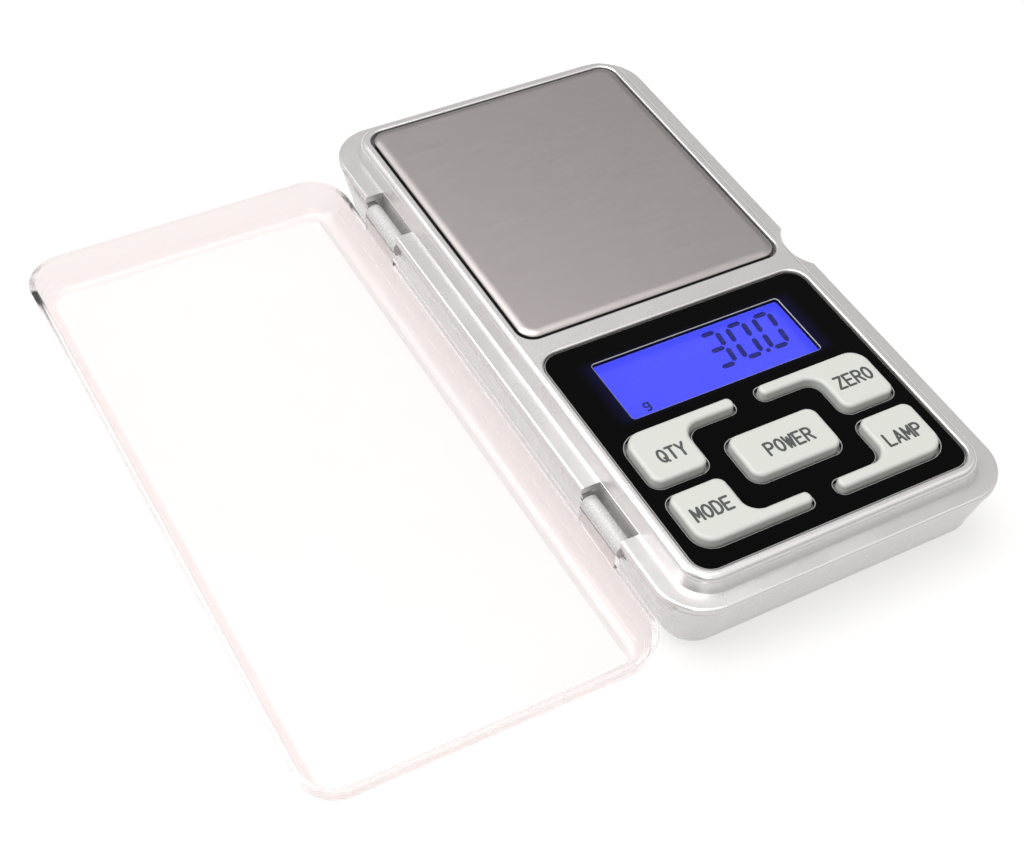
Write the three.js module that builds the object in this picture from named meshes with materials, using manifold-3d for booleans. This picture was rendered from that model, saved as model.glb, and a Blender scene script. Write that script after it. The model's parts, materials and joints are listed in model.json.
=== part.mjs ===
// A digital pocket gram scale with a clear flip lid, modelled piece by piece in millimetres.
// +Z is up and the table is z = 0. X runs across the scale, with the lid's hinge on the -X side.
// Y runs along it, with the keys at -Y and the weighing tray at +Y. The origin is under the
// body's middle. The lid is drawn closed and then turned open about its hinge.

import * as THREE from "three";
import { mergeVertices } from "three/addons/utils/BufferGeometryUtils.js";
import Module from "manifold-3d";

const wasm = await Module();
wasm.setup();

// ---- driving dimensions -------------------------------------------------------------------

const WIDTH = 62; // body, across X
const LENGTH = 120; // body, along Y
const CORNER = 8; // body's corner radius in plan
const BASE_Z = 0.6; // underside of the body, held up by the feet
const SPLIT_Z = 11.7; // top edge of the bottom housing
const LEDGE_Z = 13.3; // ledge that the closed lid rests on
const RIM_Z = 16.3; // top of the raised rim
const CLOSED_Z = 20; // height with the lid closed
const WALL = 1.6; // housing wall
const FLOOR = 1.5; // bottom housing's floor
const GAP = 0.3; // gap between neighbouring pieces
const FINE_GAP = 0.1; // gap between pieces stacked inside the housing
const PAST = 1; // a cutting tool reaches this far past the face it opens

const SIDE_INSET_TOP = 0.3; // the side wall leans in from here
const SIDE_INSET_LOW = 2.45; // to here, at the start of the bottom edge's round
const EDGE_ROUND = 3; // round between side wall and underside

const RIM_HALF_X = 27.6; // raised rim at the ledge
const RIM_HALF_Y = 57.4;
const RIM_CORNER = 5.6;
const WELL = { x: 25.2, y0: -3, y1: 55, r: 3, floor: LEDGE_Z }; // recess that holds the tray
const PANEL_RECESS = { x: 25.3, y0: -55.3, y1: -6.7, r: 3.5 };
const PANEL_TOP = 15.95;
const PANEL_THICK = 0.8;
const DECK_TOP = 15.05; // shelf under the front panel
const DECK_UNDER = 14.3;
const PANEL_GAP = 0.2;
const WINDOW = { x: 17.9, y0: -24.6, y1: -11.6, r: 0.6 };
const DISPLAY_OPENING = { x: 18.6, y0: -25.3, y1: -10.9, r: 1 }; // in the shelf, under the window
const HOLLOW_UNDER = { x: 25.9, y0: -55.7, y1: -4.9, r: 4 }; // below the shelf
const CARRIER_HOLE = { x: 7.4, y0: 37, y1: 51, r: 1.5 }; // in the well's floor
const LIP = { outer: 2.6, inner: 3.6, depth: 1.1, root: 0.5 }; // locates one housing in the other
const LIP_BREAK_X = 24; // past here the lip is left out at the hinges and the finger notch
const HINGE_BREAK = { y0: 29, y1: 46 };
const NOTCH = { radius: 7.2, depth: 1.9, under: 7.5, breakY: 8, sides: 48 }; // lets a finger lift the lid
const POST = { radius: 2.3, bore: 1.2, deepest: 12 }; // takes a housing screw

const LEDGE_PROFILE = [ // the top housing's outer wall
  { z: SPLIT_Z + GAP, inset: 0 },
  { z: LEDGE_Z - 0.4, inset: 0 },
  { z: LEDGE_Z - 0.1, inset: 0.12 },
  { z: LEDGE_Z, inset: 0.4 },
];
const RIM_PROFILE = [
  { z: LEDGE_Z - 0.5, inset: 0 },
  { z: LEDGE_Z, inset: 0 },
  { z: LEDGE_Z + 1.3, inset: 0.4 },
  { z: LEDGE_Z + 2.3, inset: 0.75 },
  { z: RIM_Z - 0.2, inset: 1.1 },
  { z: RIM_Z, inset: 1.5 },
];

const HINGE_X = -29.6;
const HINGE_Z = CLOSED_Z / 2; // so the open lid lies flat on the table
const LUG_Y0 = 31.8; // hinge lugs, mirrored about the middle
const LUG_Y1 = 42.4;
const LUG_RADIUS = 1.5;
const PIN_RADIUS = 0.5;
const PIN_BORE = 0.8;
const POCKET_CLEAR = 0.4; // gap at each end of a lug
const POCKET_DEPTH = 1.9; // below the hinge's axis
const HINGE_BLOCK = { x0: -29, x1: -26.2, under: 6.9, past: 1.8 }; // carries a pin's ends
const PIN_PAST = 1.1; // a pin reaches this far past each end of its lug
const BORE_PAST = 1.4;
const LUG_WEB = { thick: 0.9, top: 0.6 }; // joins a lug to the lid's wall

const LID = { x0: -28.9, x1: 29.7, y: 59, r: 7, rim: LEDGE_Z + GAP, wall: 1.1, round: 3, lean: 0.9 };

const KEY_MIDDLE_Y = -39.6;
const KEY_TOP = PANEL_TOP + 1.4;
const KEY_UNDER = 13.85;
const KEY_FLANGE = 0.35;
const KEY_FLANGE_REACH = 0.7; // past the key's side, under the shelf
const KEY_ROUND = 0.55;
const KEY_CLEAR = 0.4; // gap between a key and its opening
const POWER_KEY = { x: 8.2, y: 4.5, r: 1.9 };
const CORNER_KEY = {
  outerX: 22.5, innerX: 12.6, armEndX: 2.5, // distances from the middle line
  outerY: 11.8, innerY: 1.3, armY: 9.5, // distances from the middle of the keypad
  outerRound: 3.2, round: 1.7, hollow: 2.8, armRound: 1,
};
const DOME = { x: 17.5, y: 6.6, height: 0.25, radius: 3, topRadius: 1.6, lift: 0.05 };

const TRAY = { x: 24.7, y0: -2.5, y1: 54.5, r: 2.8, under: 16.1, top: 16.6, bevel: 1.6 };
const CARRIER = { x: 24.55, y0: -2.35, y1: 54.35, r: 2.65, under: 13.9, top: 16 };
const CARRIER_BOSS = { x: 6, y0: 38.4, y1: 49.6, r: 1 };
const CARRIER_POCKET = { x0: 9, x1: 20, y0: 4, y1: 48, depth: 1.3 };
const CARRIER_HOLES = { head: 2.85, headDepth: 1, shank: 1.8 };
const CARRIER_SCREW = { length: 9, head: 2.6, shank: 1.5, headHeight: 0.8, sunk: 0.15 };
const LOAD_CELL = { x: 6, y0: 2, y1: 50, z0: 4.6, z1: 10.6 };
const FIXED_SCREWS_Y = [6, 12];
const FREE_SCREWS_Y = [41, 47];
const STOP_SCREW_Y = 44;
const TRAY_DROP = 0.3; // how far the tray sinks at full load
const FLEXURE = { apart: 5, radius: 2.3, slot: 0.8 }; // the bores and slot that let the load cell bend
const GAUGE = { x: 3, reach: 7, thick: 0.2, lift: 0.05 };
const FIXED_SCREW = { head: 0.9, tip: 9.6, headRadius: 2.4, shank: 1.5, headHeight: 1.2 };
const STOP_SCREW = { under: 1.9, radius: 1.2, sides: 12 };

const CELL_RADIUS = 5.05; // AAA cell
const CELL_LENGTH = 44.5;
const CELL_Z = 6.65;
const CELLS_Y = [-35, -45.6];
const CONTACT_X = 24.3; // inner face of the battery contacts
const BOX_Y0 = -52; // battery box
const BOX_Y1 = -28.8;
const BOX_TOP = 12.15;
const BOX_END_TOP = 9.5; // the end walls stop here, and the wires pass over them
const BOX_X = 26;
const BOX_WALL = 0.8;
const BOX_END_WALL = 1;
const BOX_ROOF = { x: 24.9, thick: 0.3 };
const DOOR = { x: 22.9, y1: -29.9, thick: 0.8 };
const DOOR_GROOVES = { y: [-37, -35.5, -34], x: 7, halfWidth: 0.35, depth: 0.3 };
const CONTACT = { thick: 0.4, reach: 4, z0: 2.2, z1: 10.9, dimple: 1, dimpleRadius: 2 };
const CELL_SHIFT = 0.6; // each cell is pushed towards its flat contact
const CELL_TIP = { length: 0.9, radius: 1.9 };
const SPRING = { turns: 2.5, length: 1.7, radius: 1.5, flare: 1.9, wire: 0.25, stand: 0.35, points: 20 };

const MAIN_BOARD = { x: 20.3, y0: -27.4, y1: -6.4, r: 1, z0: 9.1, z1: 10.3 };
const KEY_BOARD = { x: 22.5, y0: -52.3, y1: -29, r: 1.5, z0: 12.25, z1: 12.95 };
const RIBBON = { x0: 8, x1: 18, y0: -28.5, y1: -28.2, lift: 0.2 };
const CHIP = { x: 4, y: -16, height: 1.3, radius: 3, topRadius: 4.6 };
const LENS = { x: 18.3, y0: -25, y1: -11.2, r: 0.8, lift: 0.05 };
const GLASS = { x: 20, y0: -26.5, y1: -9.8, thick: 1.45 };
const BACKLIGHT = { x: 18.5, y0: -24.9, y1: -10.8 };
const CONTACT_STRIP = { x: 17, y0: -26.4, y1: -25.2 };
const BOARD_RIB = { x0: 14, x1: 15, y0: -26, y1: -8 };

const HOUSING_SCREWS = [[-19.5, 50.5], [19.5, 50.5], [-23.8, -26.2], [23.8, -26.2]];
const BOSS_RADIUS = 3.2;
const BOSS_TOP = 8.7;
const HOUSING_SCREW = { head: 1.9, tip: 11.6, headRadius: 1.9, shank: 1, headHeight: 1.3 };
const HOUSING_HOLES = { head: 2.3, headTop: 3.4, shank: 1.3 };
const FIXED_HOLES = { head: 2.8, headTop: 2.2, shank: 1.8, shankTop: 6 };
const FIXED_BOSS = { x: 7, before: 4, after: 3 };
const STOP_BOSS = { radius: 3, top: 3.4, bore: 1.5, boreUnder: 1.6 };
const BURIED = 0.5; // ribs and bosses start this far below the floor's top face
const FEET = [[-24.2, -45], [24.2, -45], [-24.2, 45], [24.2, 45]];
const FOOT = { x: 1, y: 6, depth: 0.8, clear: 0.1 };
const WIRE = { radius: 0.4, apart: 1.3, bow: 1.6 };

const ARC_STEPS = 6; // steps in a quarter circle
const SHAPE_STEPS = ARC_STEPS / 2; // a three.js Shape doubles its steps on an arc
const KEY_STEPS = 2;

// ---- colours ------------------------------------------------------------------------------

const SILVER = { color: 0xc8c6c3, roughness: 0.42, metalness: 0.35 };
const BLACK_GLOSS = { color: 0x070708, roughness: 0.12, metalness: 0 };
const CLEAR = { color: 0xf0efee, roughness: 0.08, metalness: 0, transparent: true, opacity: 0.35 };
const KEY_GREY = { color: 0xd7d8d0, roughness: 0.5, metalness: 0 };
const STEEL = { color: 0x968c8c, roughness: 0.3, metalness: 1 };
const PLATED = { color: 0xb9bbbd, roughness: 0.25, metalness: 1 };
const ALUMINIUM = { color: 0xaeb1b4, roughness: 0.4, metalness: 1 };
const LIT_BLUE = { color: 0x5b5fff, roughness: 0.3, metalness: 0 };
const BOARD_GREEN = { color: 0x1f6b3a, roughness: 0.5, metalness: 0 };
const RUBBER = { color: 0x2a2a2b, roughness: 0.9, metalness: 0 };
const BLACK_PLASTIC = { color: 0x161617, roughness: 0.5, metalness: 0 };
const CELL_JACKET = { color: 0x3b4a63, roughness: 0.35, metalness: 0.4 };
const FOIL = { color: 0xc98f3c, roughness: 0.5, metalness: 0.2 };
const EPOXY = { color: 0x111111, roughness: 0.4, metalness: 0 };
const RED = { color: 0xb3261e, roughness: 0.55, metalness: 0 };
const BLACK = { color: 0x151515, roughness: 0.55, metalness: 0 };
const GREEN = { color: 0x2c7a3d, roughness: 0.55, metalness: 0 };
const WHITE = { color: 0xe8e8e6, roughness: 0.55, metalness: 0 };

// ---- shapes -------------------------------------------------------------------------------

// A box between two corners.
function block(x0, x1, y0, y1, z0, z1) {
  const geometry = new THREE.BoxGeometry(x1 - x0, y1 - y0, z1 - z0);
  return geometry.translate((x0 + x1) / 2, (y0 + y1) / 2, (z0 + z1) / 2);
}

// A box centred on the middle line.
function slab({ x, y0, y1 }, z0, z1) {
  return block(-x, x, y0, y1, z0, z1);
}

// An upright cylinder or cone.
function post(x, y, z0, z1, radius, topRadius = radius, sides = 20) {
  const geometry = new THREE.CylinderGeometry(topRadius, radius, z1 - z0, sides);
  return geometry.rotateX(Math.PI / 2).translate(x, y, (z0 + z1) / 2);
}

// A cylinder along X or Y.
function rodX(x0, x1, y, z, radius, sides = 20) {
  const geometry = new THREE.CylinderGeometry(radius, radius, x1 - x0, sides);
  return geometry.rotateZ(Math.PI / 2).translate((x0 + x1) / 2, y, z);
}

function rodY(y0, y1, x, z, radius, sides = 20) {
  const geometry = new THREE.CylinderGeometry(radius, radius, y1 - y0, sides);
  return geometry.translate(x, (y0 + y1) / 2, z);
}

// A rectangle with rounded corners.
function roundedRect(x0, x1, y0, y1, r) {
  const shape = new THREE.Shape();
  shape.absarc(x1 - r, y1 - r, r, 0, Math.PI / 2, false);
  shape.absarc(x0 + r, y1 - r, r, Math.PI / 2, Math.PI, false);
  shape.absarc(x0 + r, y0 + r, r, Math.PI, 1.5 * Math.PI, false);
  shape.absarc(x1 - r, y0 + r, r, 1.5 * Math.PI, 2 * Math.PI, false);
  shape.closePath();
  return shape;
}

// A rounded rectangle centred on the middle line.
function centred({ x, y0, y1, r }, grow = 0) {
  return roundedRect(-x - grow, x + grow, y0 - grow, y1 + grow, r + grow);
}

function plate(shape, z0, z1) {
  const geometry = new THREE.ExtrudeGeometry(shape, {
    depth: z1 - z0,
    bevelEnabled: false,
    curveSegments: SHAPE_STEPS,
  });
  return geometry.translate(0, 0, z0);
}

// A closed stack of rounded rectangles, one for each level { z, inset }, joined by sloping walls.
function stack(x0, x1, y0, y1, r, levels) {
  const positions = [];
  const index = [];
  const count = 4 * (ARC_STEPS + 1);
  for (const { z, inset } of levels) {
    const radius = Math.max(r - inset, 0.2);
    const halfX = (x1 - x0) / 2 - inset - radius;
    const halfY = (y1 - y0) / 2 - inset - radius;
    for (let i = 0; i < count; i++) {
      const corner = Math.floor(i / (ARC_STEPS + 1));
      const angle = (corner + (i % (ARC_STEPS + 1)) / ARC_STEPS) * (Math.PI / 2);
      const signX = corner === 0 || corner === 3 ? 1 : -1;
      const signY = corner < 2 ? 1 : -1;
      const x = (x0 + x1) / 2 + signX * halfX + radius * Math.cos(angle);
      const y = (y0 + y1) / 2 + signY * halfY + radius * Math.sin(angle);
      positions.push(x, y, z);
    }
  }
  for (let level = 0; level < levels.length - 1; level++) {
    for (let i = 0; i < count; i++) {
      const a = level * count + i;
      const b = level * count + ((i + 1) % count);
      index.push(a, b, b + count, a, b + count, a + count);
    }
  }
  const last = (levels.length - 1) * count;
  for (let i = 1; i < count - 1; i++) {
    index.push(0, i + 1, i);
    index.push(last, last + i, last + i + 1);
  }
  const geometry = new THREE.BufferGeometry();
  geometry.setAttribute("position", new THREE.Float32BufferAttribute(positions, 3));
  geometry.setIndex(index);
  return geometry;
}

// A round tube along a smooth line through the given points.
function wire(points, radius, steps = points.length * 2) {
  const curve = new THREE.CatmullRomCurve3(points.map((p) => new THREE.Vector3(...p)));
  const section = new THREE.Shape();
  section.absarc(0, 0, radius, 0, 2 * Math.PI, false);
  return new THREE.ExtrudeGeometry(section, {
    steps,
    extrudePath: curve,
    curveSegments: 4,
    bevelEnabled: false,
  });
}

// ---- joining and cutting ------------------------------------------------------------------

function solid(geometry) {
  const source = geometry.clone();
  source.deleteAttribute("normal");
  source.deleteAttribute("uv");
  const merged = mergeVertices(source, 1e-4);
  const mesh = new wasm.Mesh({
    numProp: 3,
    vertProperties: new Float32Array(merged.attributes.position.array),
    triVerts: new Uint32Array(merged.index.array),
  });
  return new wasm.Manifold(mesh);
}

// Joins the pieces, to one another and to any solids already made.
function join(geometries, ...made) {
  return [...made, ...geometries.map(solid)].reduce((whole, next) => whole.add(next));
}

function cut(whole, geometries) {
  return geometries.map(solid).reduce((rest, tool) => rest.subtract(tool), whole);
}

function geometryOf(manifold) {
  const mesh = manifold.getMesh();
  const geometry = new THREE.BufferGeometry();
  geometry.setAttribute("position", new THREE.Float32BufferAttribute(mesh.vertProperties, 3));
  geometry.setIndex(new THREE.Uint32BufferAttribute(mesh.triVerts, 1));
  geometry.computeVertexNormals();
  return geometry;
}

const group = new THREE.Group();

function piece(name, geometry, look, parent = group) {
  const shape = geometry.isBufferGeometry ? geometry : geometryOf(geometry);
  if (!shape.attributes.normal) shape.computeVertexNormals();
  const mesh = new THREE.Mesh(shape, new THREE.MeshStandardMaterial(look));
  mesh.name = name;
  parent.add(mesh);
  return mesh;
}

// Quarter-circle levels that carry a side wall into a flat face.
function roundLevels(inset, zStart, zEnd, radius) {
  const levels = [];
  for (let i = 0; i <= ARC_STEPS; i++) {
    const angle = (i / ARC_STEPS) * (Math.PI / 2);
    const z = zStart + (zEnd - zStart) * Math.sin(angle);
    levels.push({ z, inset: inset + radius * (1 - Math.cos(angle)) });
  }
  return levels;
}

// ---- housings -----------------------------------------------------------------------------

const BODY = [-WIDTH / 2, WIDTH / 2, -LENGTH / 2, LENGTH / 2, CORNER];

// The bottom housing's outer or inner face, drawn in by `skin` from the outside.
function tub(skin, underside, top) {
  const low = roundLevels(SIDE_INSET_LOW + skin, BASE_Z + EDGE_ROUND, underside, EDGE_ROUND);
  return stack(...BODY, [...low.reverse(), { z: top, inset: SIDE_INSET_TOP + skin }]);
}

function fingerNotch() {
  const { radius, depth, under, sides } = NOTCH;
  return post(WIDTH / 2 - depth + radius, 0, under, RIM_Z, radius, radius, sides);
}

// The two ends along Y of the lug on one side, each moved out by `past`.
function lugSpan(side, past) {
  return [side * (LUG_Y0 - past), side * (LUG_Y1 + past)].sort((a, b) => a - b);
}

function hingePocket(side) {
  const x0 = -WIDTH / 2 - PAST;
  const x1 = -RIM_HALF_X - FINE_GAP;
  return block(x0, x1, ...lugSpan(side, POCKET_CLEAR), HINGE_Z - POCKET_DEPTH, RIM_Z);
}

function lip() {
  const { outer, inner, depth, root } = LIP;
  const under = SPLIT_Z - depth;
  const whole = stack(...BODY, [{ z: under, inset: outer }, { z: SPLIT_Z + root, inset: outer }]);
  const { y0, y1 } = HINGE_BREAK;
  return cut(solid(whole), [
    stack(...BODY, [{ z: under - PAST, inset: inner }, { z: SPLIT_Z + PAST, inset: inner }]),
    block(-WIDTH / 2, -LIP_BREAK_X, y0, y1, under - PAST, SPLIT_Z + GAP),
    block(-WIDTH / 2, -LIP_BREAK_X, -y1, -y0, under - PAST, SPLIT_Z + GAP),
    block(LIP_BREAK_X, WIDTH / 2, -NOTCH.breakY, NOTCH.breakY, under - PAST, SPLIT_Z + GAP),
  ]);
}

function topHousing() {
  const outside = stack(...BODY, LEDGE_PROFILE);
  const rim = stack(-RIM_HALF_X, RIM_HALF_X, -RIM_HALF_Y, RIM_HALF_Y, RIM_CORNER, RIM_PROFILE);
  const shell = cut(join([outside, rim]), [plate(centred(HOLLOW_UNDER), SPLIT_Z, DECK_UNDER)]);
  const posts = HOUSING_SCREWS.map(([x, y]) => {
    const top = y > 0 ? LEDGE_Z - GAP : DECK_UNDER + GAP;
    return post(x, y, BOSS_TOP + GAP, top, POST.radius);
  });
  return cut(join(posts, shell.add(lip())), [
    plate(centred(WELL), WELL.floor, RIM_Z + PAST),
    plate(centred(PANEL_RECESS), DECK_TOP, RIM_Z + PAST),
    plate(centred(DISPLAY_OPENING), DECK_UNDER - PAST, DECK_TOP + PAST),
    ...keyOutlines(KEY_CLEAR).map(({ shape }) => plate(shape, DECK_UNDER - GAP, DECK_TOP + PAST)),
    plate(centred(CARRIER_HOLE), SPLIT_Z, WELL.floor + PAST),
    ...HOUSING_SCREWS.map(([x, y]) => post(x, y, BOSS_TOP, POST.deepest, POST.bore)),
    hingePocket(1),
    hingePocket(-1),
    fingerNotch(),
  ]);
}

// The walls and roof of the battery box. The end walls stop lower beside the roof, under the wires.
function batteryBox(floorZ) {
  const crossWall = (y) => [
    block(-BOX_X, BOX_X, y, y + BOX_WALL, floorZ, BOX_END_TOP),
    block(-BOX_ROOF.x, BOX_ROOF.x, y, y + BOX_WALL, BOX_END_TOP - PAST, BOX_TOP),
  ];
  return [
    ...crossWall(BOX_Y0),
    ...crossWall(BOX_Y1 - BOX_WALL),
    block(-BOX_X, -BOX_X + BOX_END_WALL, BOX_Y0, BOX_Y1, floorZ, BOX_END_TOP),
    block(BOX_X - BOX_END_WALL, BOX_X, BOX_Y0, BOX_Y1, floorZ, BOX_END_TOP),
    block(-BOX_ROOF.x, BOX_ROOF.x, BOX_Y0, BOX_Y1, BOX_TOP - BOX_ROOF.thick, BOX_TOP),
  ];
}

function bottomHousing() {
  const inside = tub(WALL, BASE_Z + FLOOR, SPLIT_Z + PAST);
  const shell = cut(solid(tub(0, BASE_Z, SPLIT_Z)), [inside]);
  const floorZ = BASE_Z + FLOOR - BURIED;
  const { x0, x1, y0, y1 } = BOARD_RIB;
  const { before, after } = FIXED_BOSS;
  const supports = [
    block(-x1, -x0, y0, y1, floorZ, MAIN_BOARD.z0 - FINE_GAP),
    block(x0, x1, y0, y1, floorZ, MAIN_BOARD.z0 - FINE_GAP),
    block(-FIXED_BOSS.x, FIXED_BOSS.x, FIXED_SCREWS_Y[0] - before, FIXED_SCREWS_Y[1] + after,
      floorZ, LOAD_CELL.z0 - FINE_GAP),
    post(0, STOP_SCREW_Y, floorZ, STOP_BOSS.top, STOP_BOSS.radius),
    ...HOUSING_SCREWS.map(([x, y]) => post(x, y, floorZ, BOSS_TOP, BOSS_RADIUS)),
  ];
  const hingeBlocks = [-1, 1].map((side) => {
    const span = lugSpan(side, HINGE_BLOCK.past);
    const top = SPLIT_Z + GAP - FINE_GAP;
    return block(HINGE_BLOCK.x0, HINGE_BLOCK.x1, ...span, HINGE_BLOCK.under, top);
  });
  const doorX = DOOR.x + GAP;
  const doorEnd = DOOR.y1 + GAP;
  return cut(join([...batteryBox(floorZ), ...supports, ...hingeBlocks], shell), [
    block(-doorX, doorX, -LENGTH / 2 - PAST, doorEnd, -PAST, BASE_Z + DOOR.thick + GAP),
    block(-doorX, doorX, BOX_Y0 + BOX_WALL, doorEnd, -PAST, BASE_Z + FLOOR + PAST),
    hingePocket(1),
    hingePocket(-1),
    ...[-1, 1].map((side) => rodY(...lugSpan(side, BORE_PAST), HINGE_X, HINGE_Z, PIN_BORE)),
    fingerNotch(),
    ...HOUSING_SCREWS.map(([x, y]) => post(x, y, -PAST, HOUSING_HOLES.headTop, HOUSING_HOLES.head)),
    ...HOUSING_SCREWS.map(([x, y]) => post(x, y, -PAST, BOSS_TOP + PAST, HOUSING_HOLES.shank)),
    ...FIXED_SCREWS_Y.map((y) => post(0, y, -PAST, FIXED_HOLES.headTop, FIXED_HOLES.head)),
    ...FIXED_SCREWS_Y.map((y) => post(0, y, -PAST, FIXED_HOLES.shankTop, FIXED_HOLES.shank)),
    post(0, STOP_SCREW_Y, STOP_BOSS.boreUnder, STOP_BOSS.top + PAST, STOP_BOSS.bore),
    ...FEET.map(([x, y]) => plate(footOutline(x, y, FOOT.clear), -PAST, BASE_Z + FOOT.depth)),
  ]);
}

// ---- keys and front panel -----------------------------------------------------------------

// An L-shaped corner key: a block with a thin arm that runs round the middle key.
function cornerKeyOutline(signX, signY, grow) {
  const k = CORNER_KEY;
  const outerX = k.outerX + grow;
  const outerY = k.outerY + grow;
  const innerX = k.innerX - grow;
  const innerY = k.innerY - grow;
  const armEndX = k.armEndX - grow;
  const armY = k.armY - grow;
  const big = k.outerRound + grow;
  const small = k.round + grow;
  const tip = k.armRound + grow;
  const hollow = k.hollow - grow;
  const quarter = Math.PI / 2;
  const shape = new THREE.Shape();
  shape.absarc(outerX - big, outerY - big, big, 0, quarter, false);
  shape.absarc(armEndX + tip, outerY - tip, tip, quarter, 2 * quarter, false);
  shape.absarc(armEndX + tip, armY + tip, tip, 2 * quarter, 3 * quarter, false);
  shape.absarc(innerX - hollow, armY - hollow, hollow, quarter, 0, true);
  shape.absarc(innerX + small, innerY + small, small, 2 * quarter, 3 * quarter, false);
  shape.absarc(outerX - small, innerY + small, small, 3 * quarter, 4 * quarter, false);
  shape.closePath();
  const points = shape.getPoints(KEY_STEPS).map((p) => {
    return new THREE.Vector2(signX * p.x, KEY_MIDDLE_Y + signY * p.y);
  });
  if (signX * signY < 0) points.reverse();
  return new THREE.Shape(points);
}

function keyOutlines(grow) {
  const { x, y, r } = POWER_KEY;
  const middle = { x, y0: KEY_MIDDLE_Y - y, y1: KEY_MIDDLE_Y + y, r };
  const corners = { key_count: [-1, 1], key_tare: [1, 1], key_units: [-1, -1], key_light: [1, -1] };
  return [
    { name: "key_power", shape: centred(middle, grow), x: 0, y: KEY_MIDDLE_Y },
    ...Object.entries(corners).map(([name, [signX, signY]]) => ({
      name,
      shape: cornerKeyOutline(signX, signY, grow),
      x: signX * DOME.x,
      y: KEY_MIDDLE_Y + signY * DOME.y,
    })),
  ];
}

function keyCap(cap, flange) {
  const geometry = new THREE.ExtrudeGeometry(cap, {
    depth: KEY_TOP - KEY_UNDER - 2 * KEY_ROUND,
    bevelEnabled: true,
    bevelThickness: KEY_ROUND,
    bevelSize: KEY_ROUND,
    bevelOffset: -KEY_ROUND,
    bevelSegments: 2,
    curveSegments: KEY_STEPS,
  });
  geometry.translate(0, 0, KEY_UNDER + KEY_ROUND);
  return join([geometry, plate(flange, KEY_UNDER, KEY_UNDER + KEY_FLANGE)]);
}

function addKeys() {
  const caps = keyOutlines(0);
  const flanges = keyOutlines(KEY_FLANGE_REACH);
  const domeZ = KEY_BOARD.z1 + DOME.lift;
  caps.forEach(({ name, shape, x, y }, i) => {
    const dome = post(x, y, domeZ, domeZ + DOME.height, DOME.radius, DOME.topRadius, 16);
    piece(name, keyCap(shape, flanges[i].shape), KEY_GREY);
    piece(`${name}_dome`, dome, PLATED);
  });
}

function frontPanel() {
  const shape = centred(PANEL_RECESS, -PANEL_GAP);
  shape.holes = keyOutlines(KEY_CLEAR).map(({ shape: hole }) => hole);
  shape.holes.push(centred(WINDOW));
  return plate(shape, PANEL_TOP - PANEL_THICK, PANEL_TOP);
}

// ---- display and boards -------------------------------------------------------------------

function addDisplay() {
  const glassTop = DECK_UNDER - FINE_GAP;
  const glassUnder = glassTop - GLASS.thick;
  const lightUnder = MAIN_BOARD.z1 + FINE_GAP;
  const lightTop = glassUnder - FINE_GAP;
  piece("display_lens", plate(centred(LENS), DECK_UNDER + LENS.lift, DECK_TOP), CLEAR);
  piece("display_glass", slab(GLASS, glassUnder, glassTop), LIT_BLUE);
  piece("display_backlight", slab(BACKLIGHT, lightUnder, lightTop), LIT_BLUE);
  piece("display_contact_strip", slab(CONTACT_STRIP, lightUnder, lightTop), RUBBER);
}

function addBoards() {
  const chipTop = MAIN_BOARD.z0 - FINE_GAP;
  const chip = post(CHIP.x, CHIP.y, chipTop - CHIP.height, chipTop, CHIP.radius, CHIP.topRadius);
  const { x0, x1, y0, y1, lift } = RIBBON;
  piece("main_board", plate(centred(MAIN_BOARD), MAIN_BOARD.z0, MAIN_BOARD.z1), BOARD_GREEN);
  piece("controller_chip", chip, EPOXY);
  piece("key_board", plate(centred(KEY_BOARD), KEY_BOARD.z0, KEY_BOARD.z1), BOARD_GREEN);
  piece("key_ribbon", block(x0, x1, y0, y1, MAIN_BOARD.z1 + lift, KEY_BOARD.z1), WHITE);
}

// ---- weighing parts -----------------------------------------------------------------------

function weighingTray() {
  const { x, y0, y1, r, under, top, bevel } = TRAY;
  return stack(-x, x, y0, y1, r, roundLevels(0, under, top, bevel));
}

function trayCarrier() {
  const { under, top } = CARRIER;
  const bossUnder = LOAD_CELL.z1 + FINE_GAP + TRAY_DROP;
  const { x0, x1, y0, y1, depth } = CARRIER_POCKET;
  const { head, headDepth, shank } = CARRIER_HOLES;
  const built = join([
    plate(centred(CARRIER), under, top),
    plate(centred(CARRIER_BOSS), bossUnder, under + PAST),
  ]);
  return cut(built, [
    ...FREE_SCREWS_Y.map((y) => post(0, y, top - headDepth, top + PAST, head)),
    ...FREE_SCREWS_Y.map((y) => post(0, y, bossUnder - PAST, top, shank)),
    block(-x1, -x0, y0, y1, under - PAST, under + depth),
    block(x0, x1, y0, y1, under - PAST, under + depth),
  ]);
}

// A bar with two bores joined by a slot, so that its free end can bend down.
function loadCell() {
  const { x, y0, y1, z0, z1 } = LOAD_CELL;
  const { apart, radius, slot } = FLEXURE;
  const middleY = (y0 + y1) / 2;
  const middleZ = (z0 + z1) / 2;
  return cut(solid(block(-x, x, y0, y1, z0, z1)), [
    rodX(-x - PAST, x + PAST, middleY - apart, middleZ, radius),
    rodX(-x - PAST, x + PAST, middleY + apart, middleZ, radius),
    block(-x - PAST, x + PAST, middleY - apart, middleY + apart, middleZ - slot, middleZ + slot),
    ...[...FIXED_SCREWS_Y, ...FREE_SCREWS_Y].map((y) => {
      return post(0, y, z0 - PAST, z1 + PAST, FIXED_HOLES.shank);
    }),
  ]);
}

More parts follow.
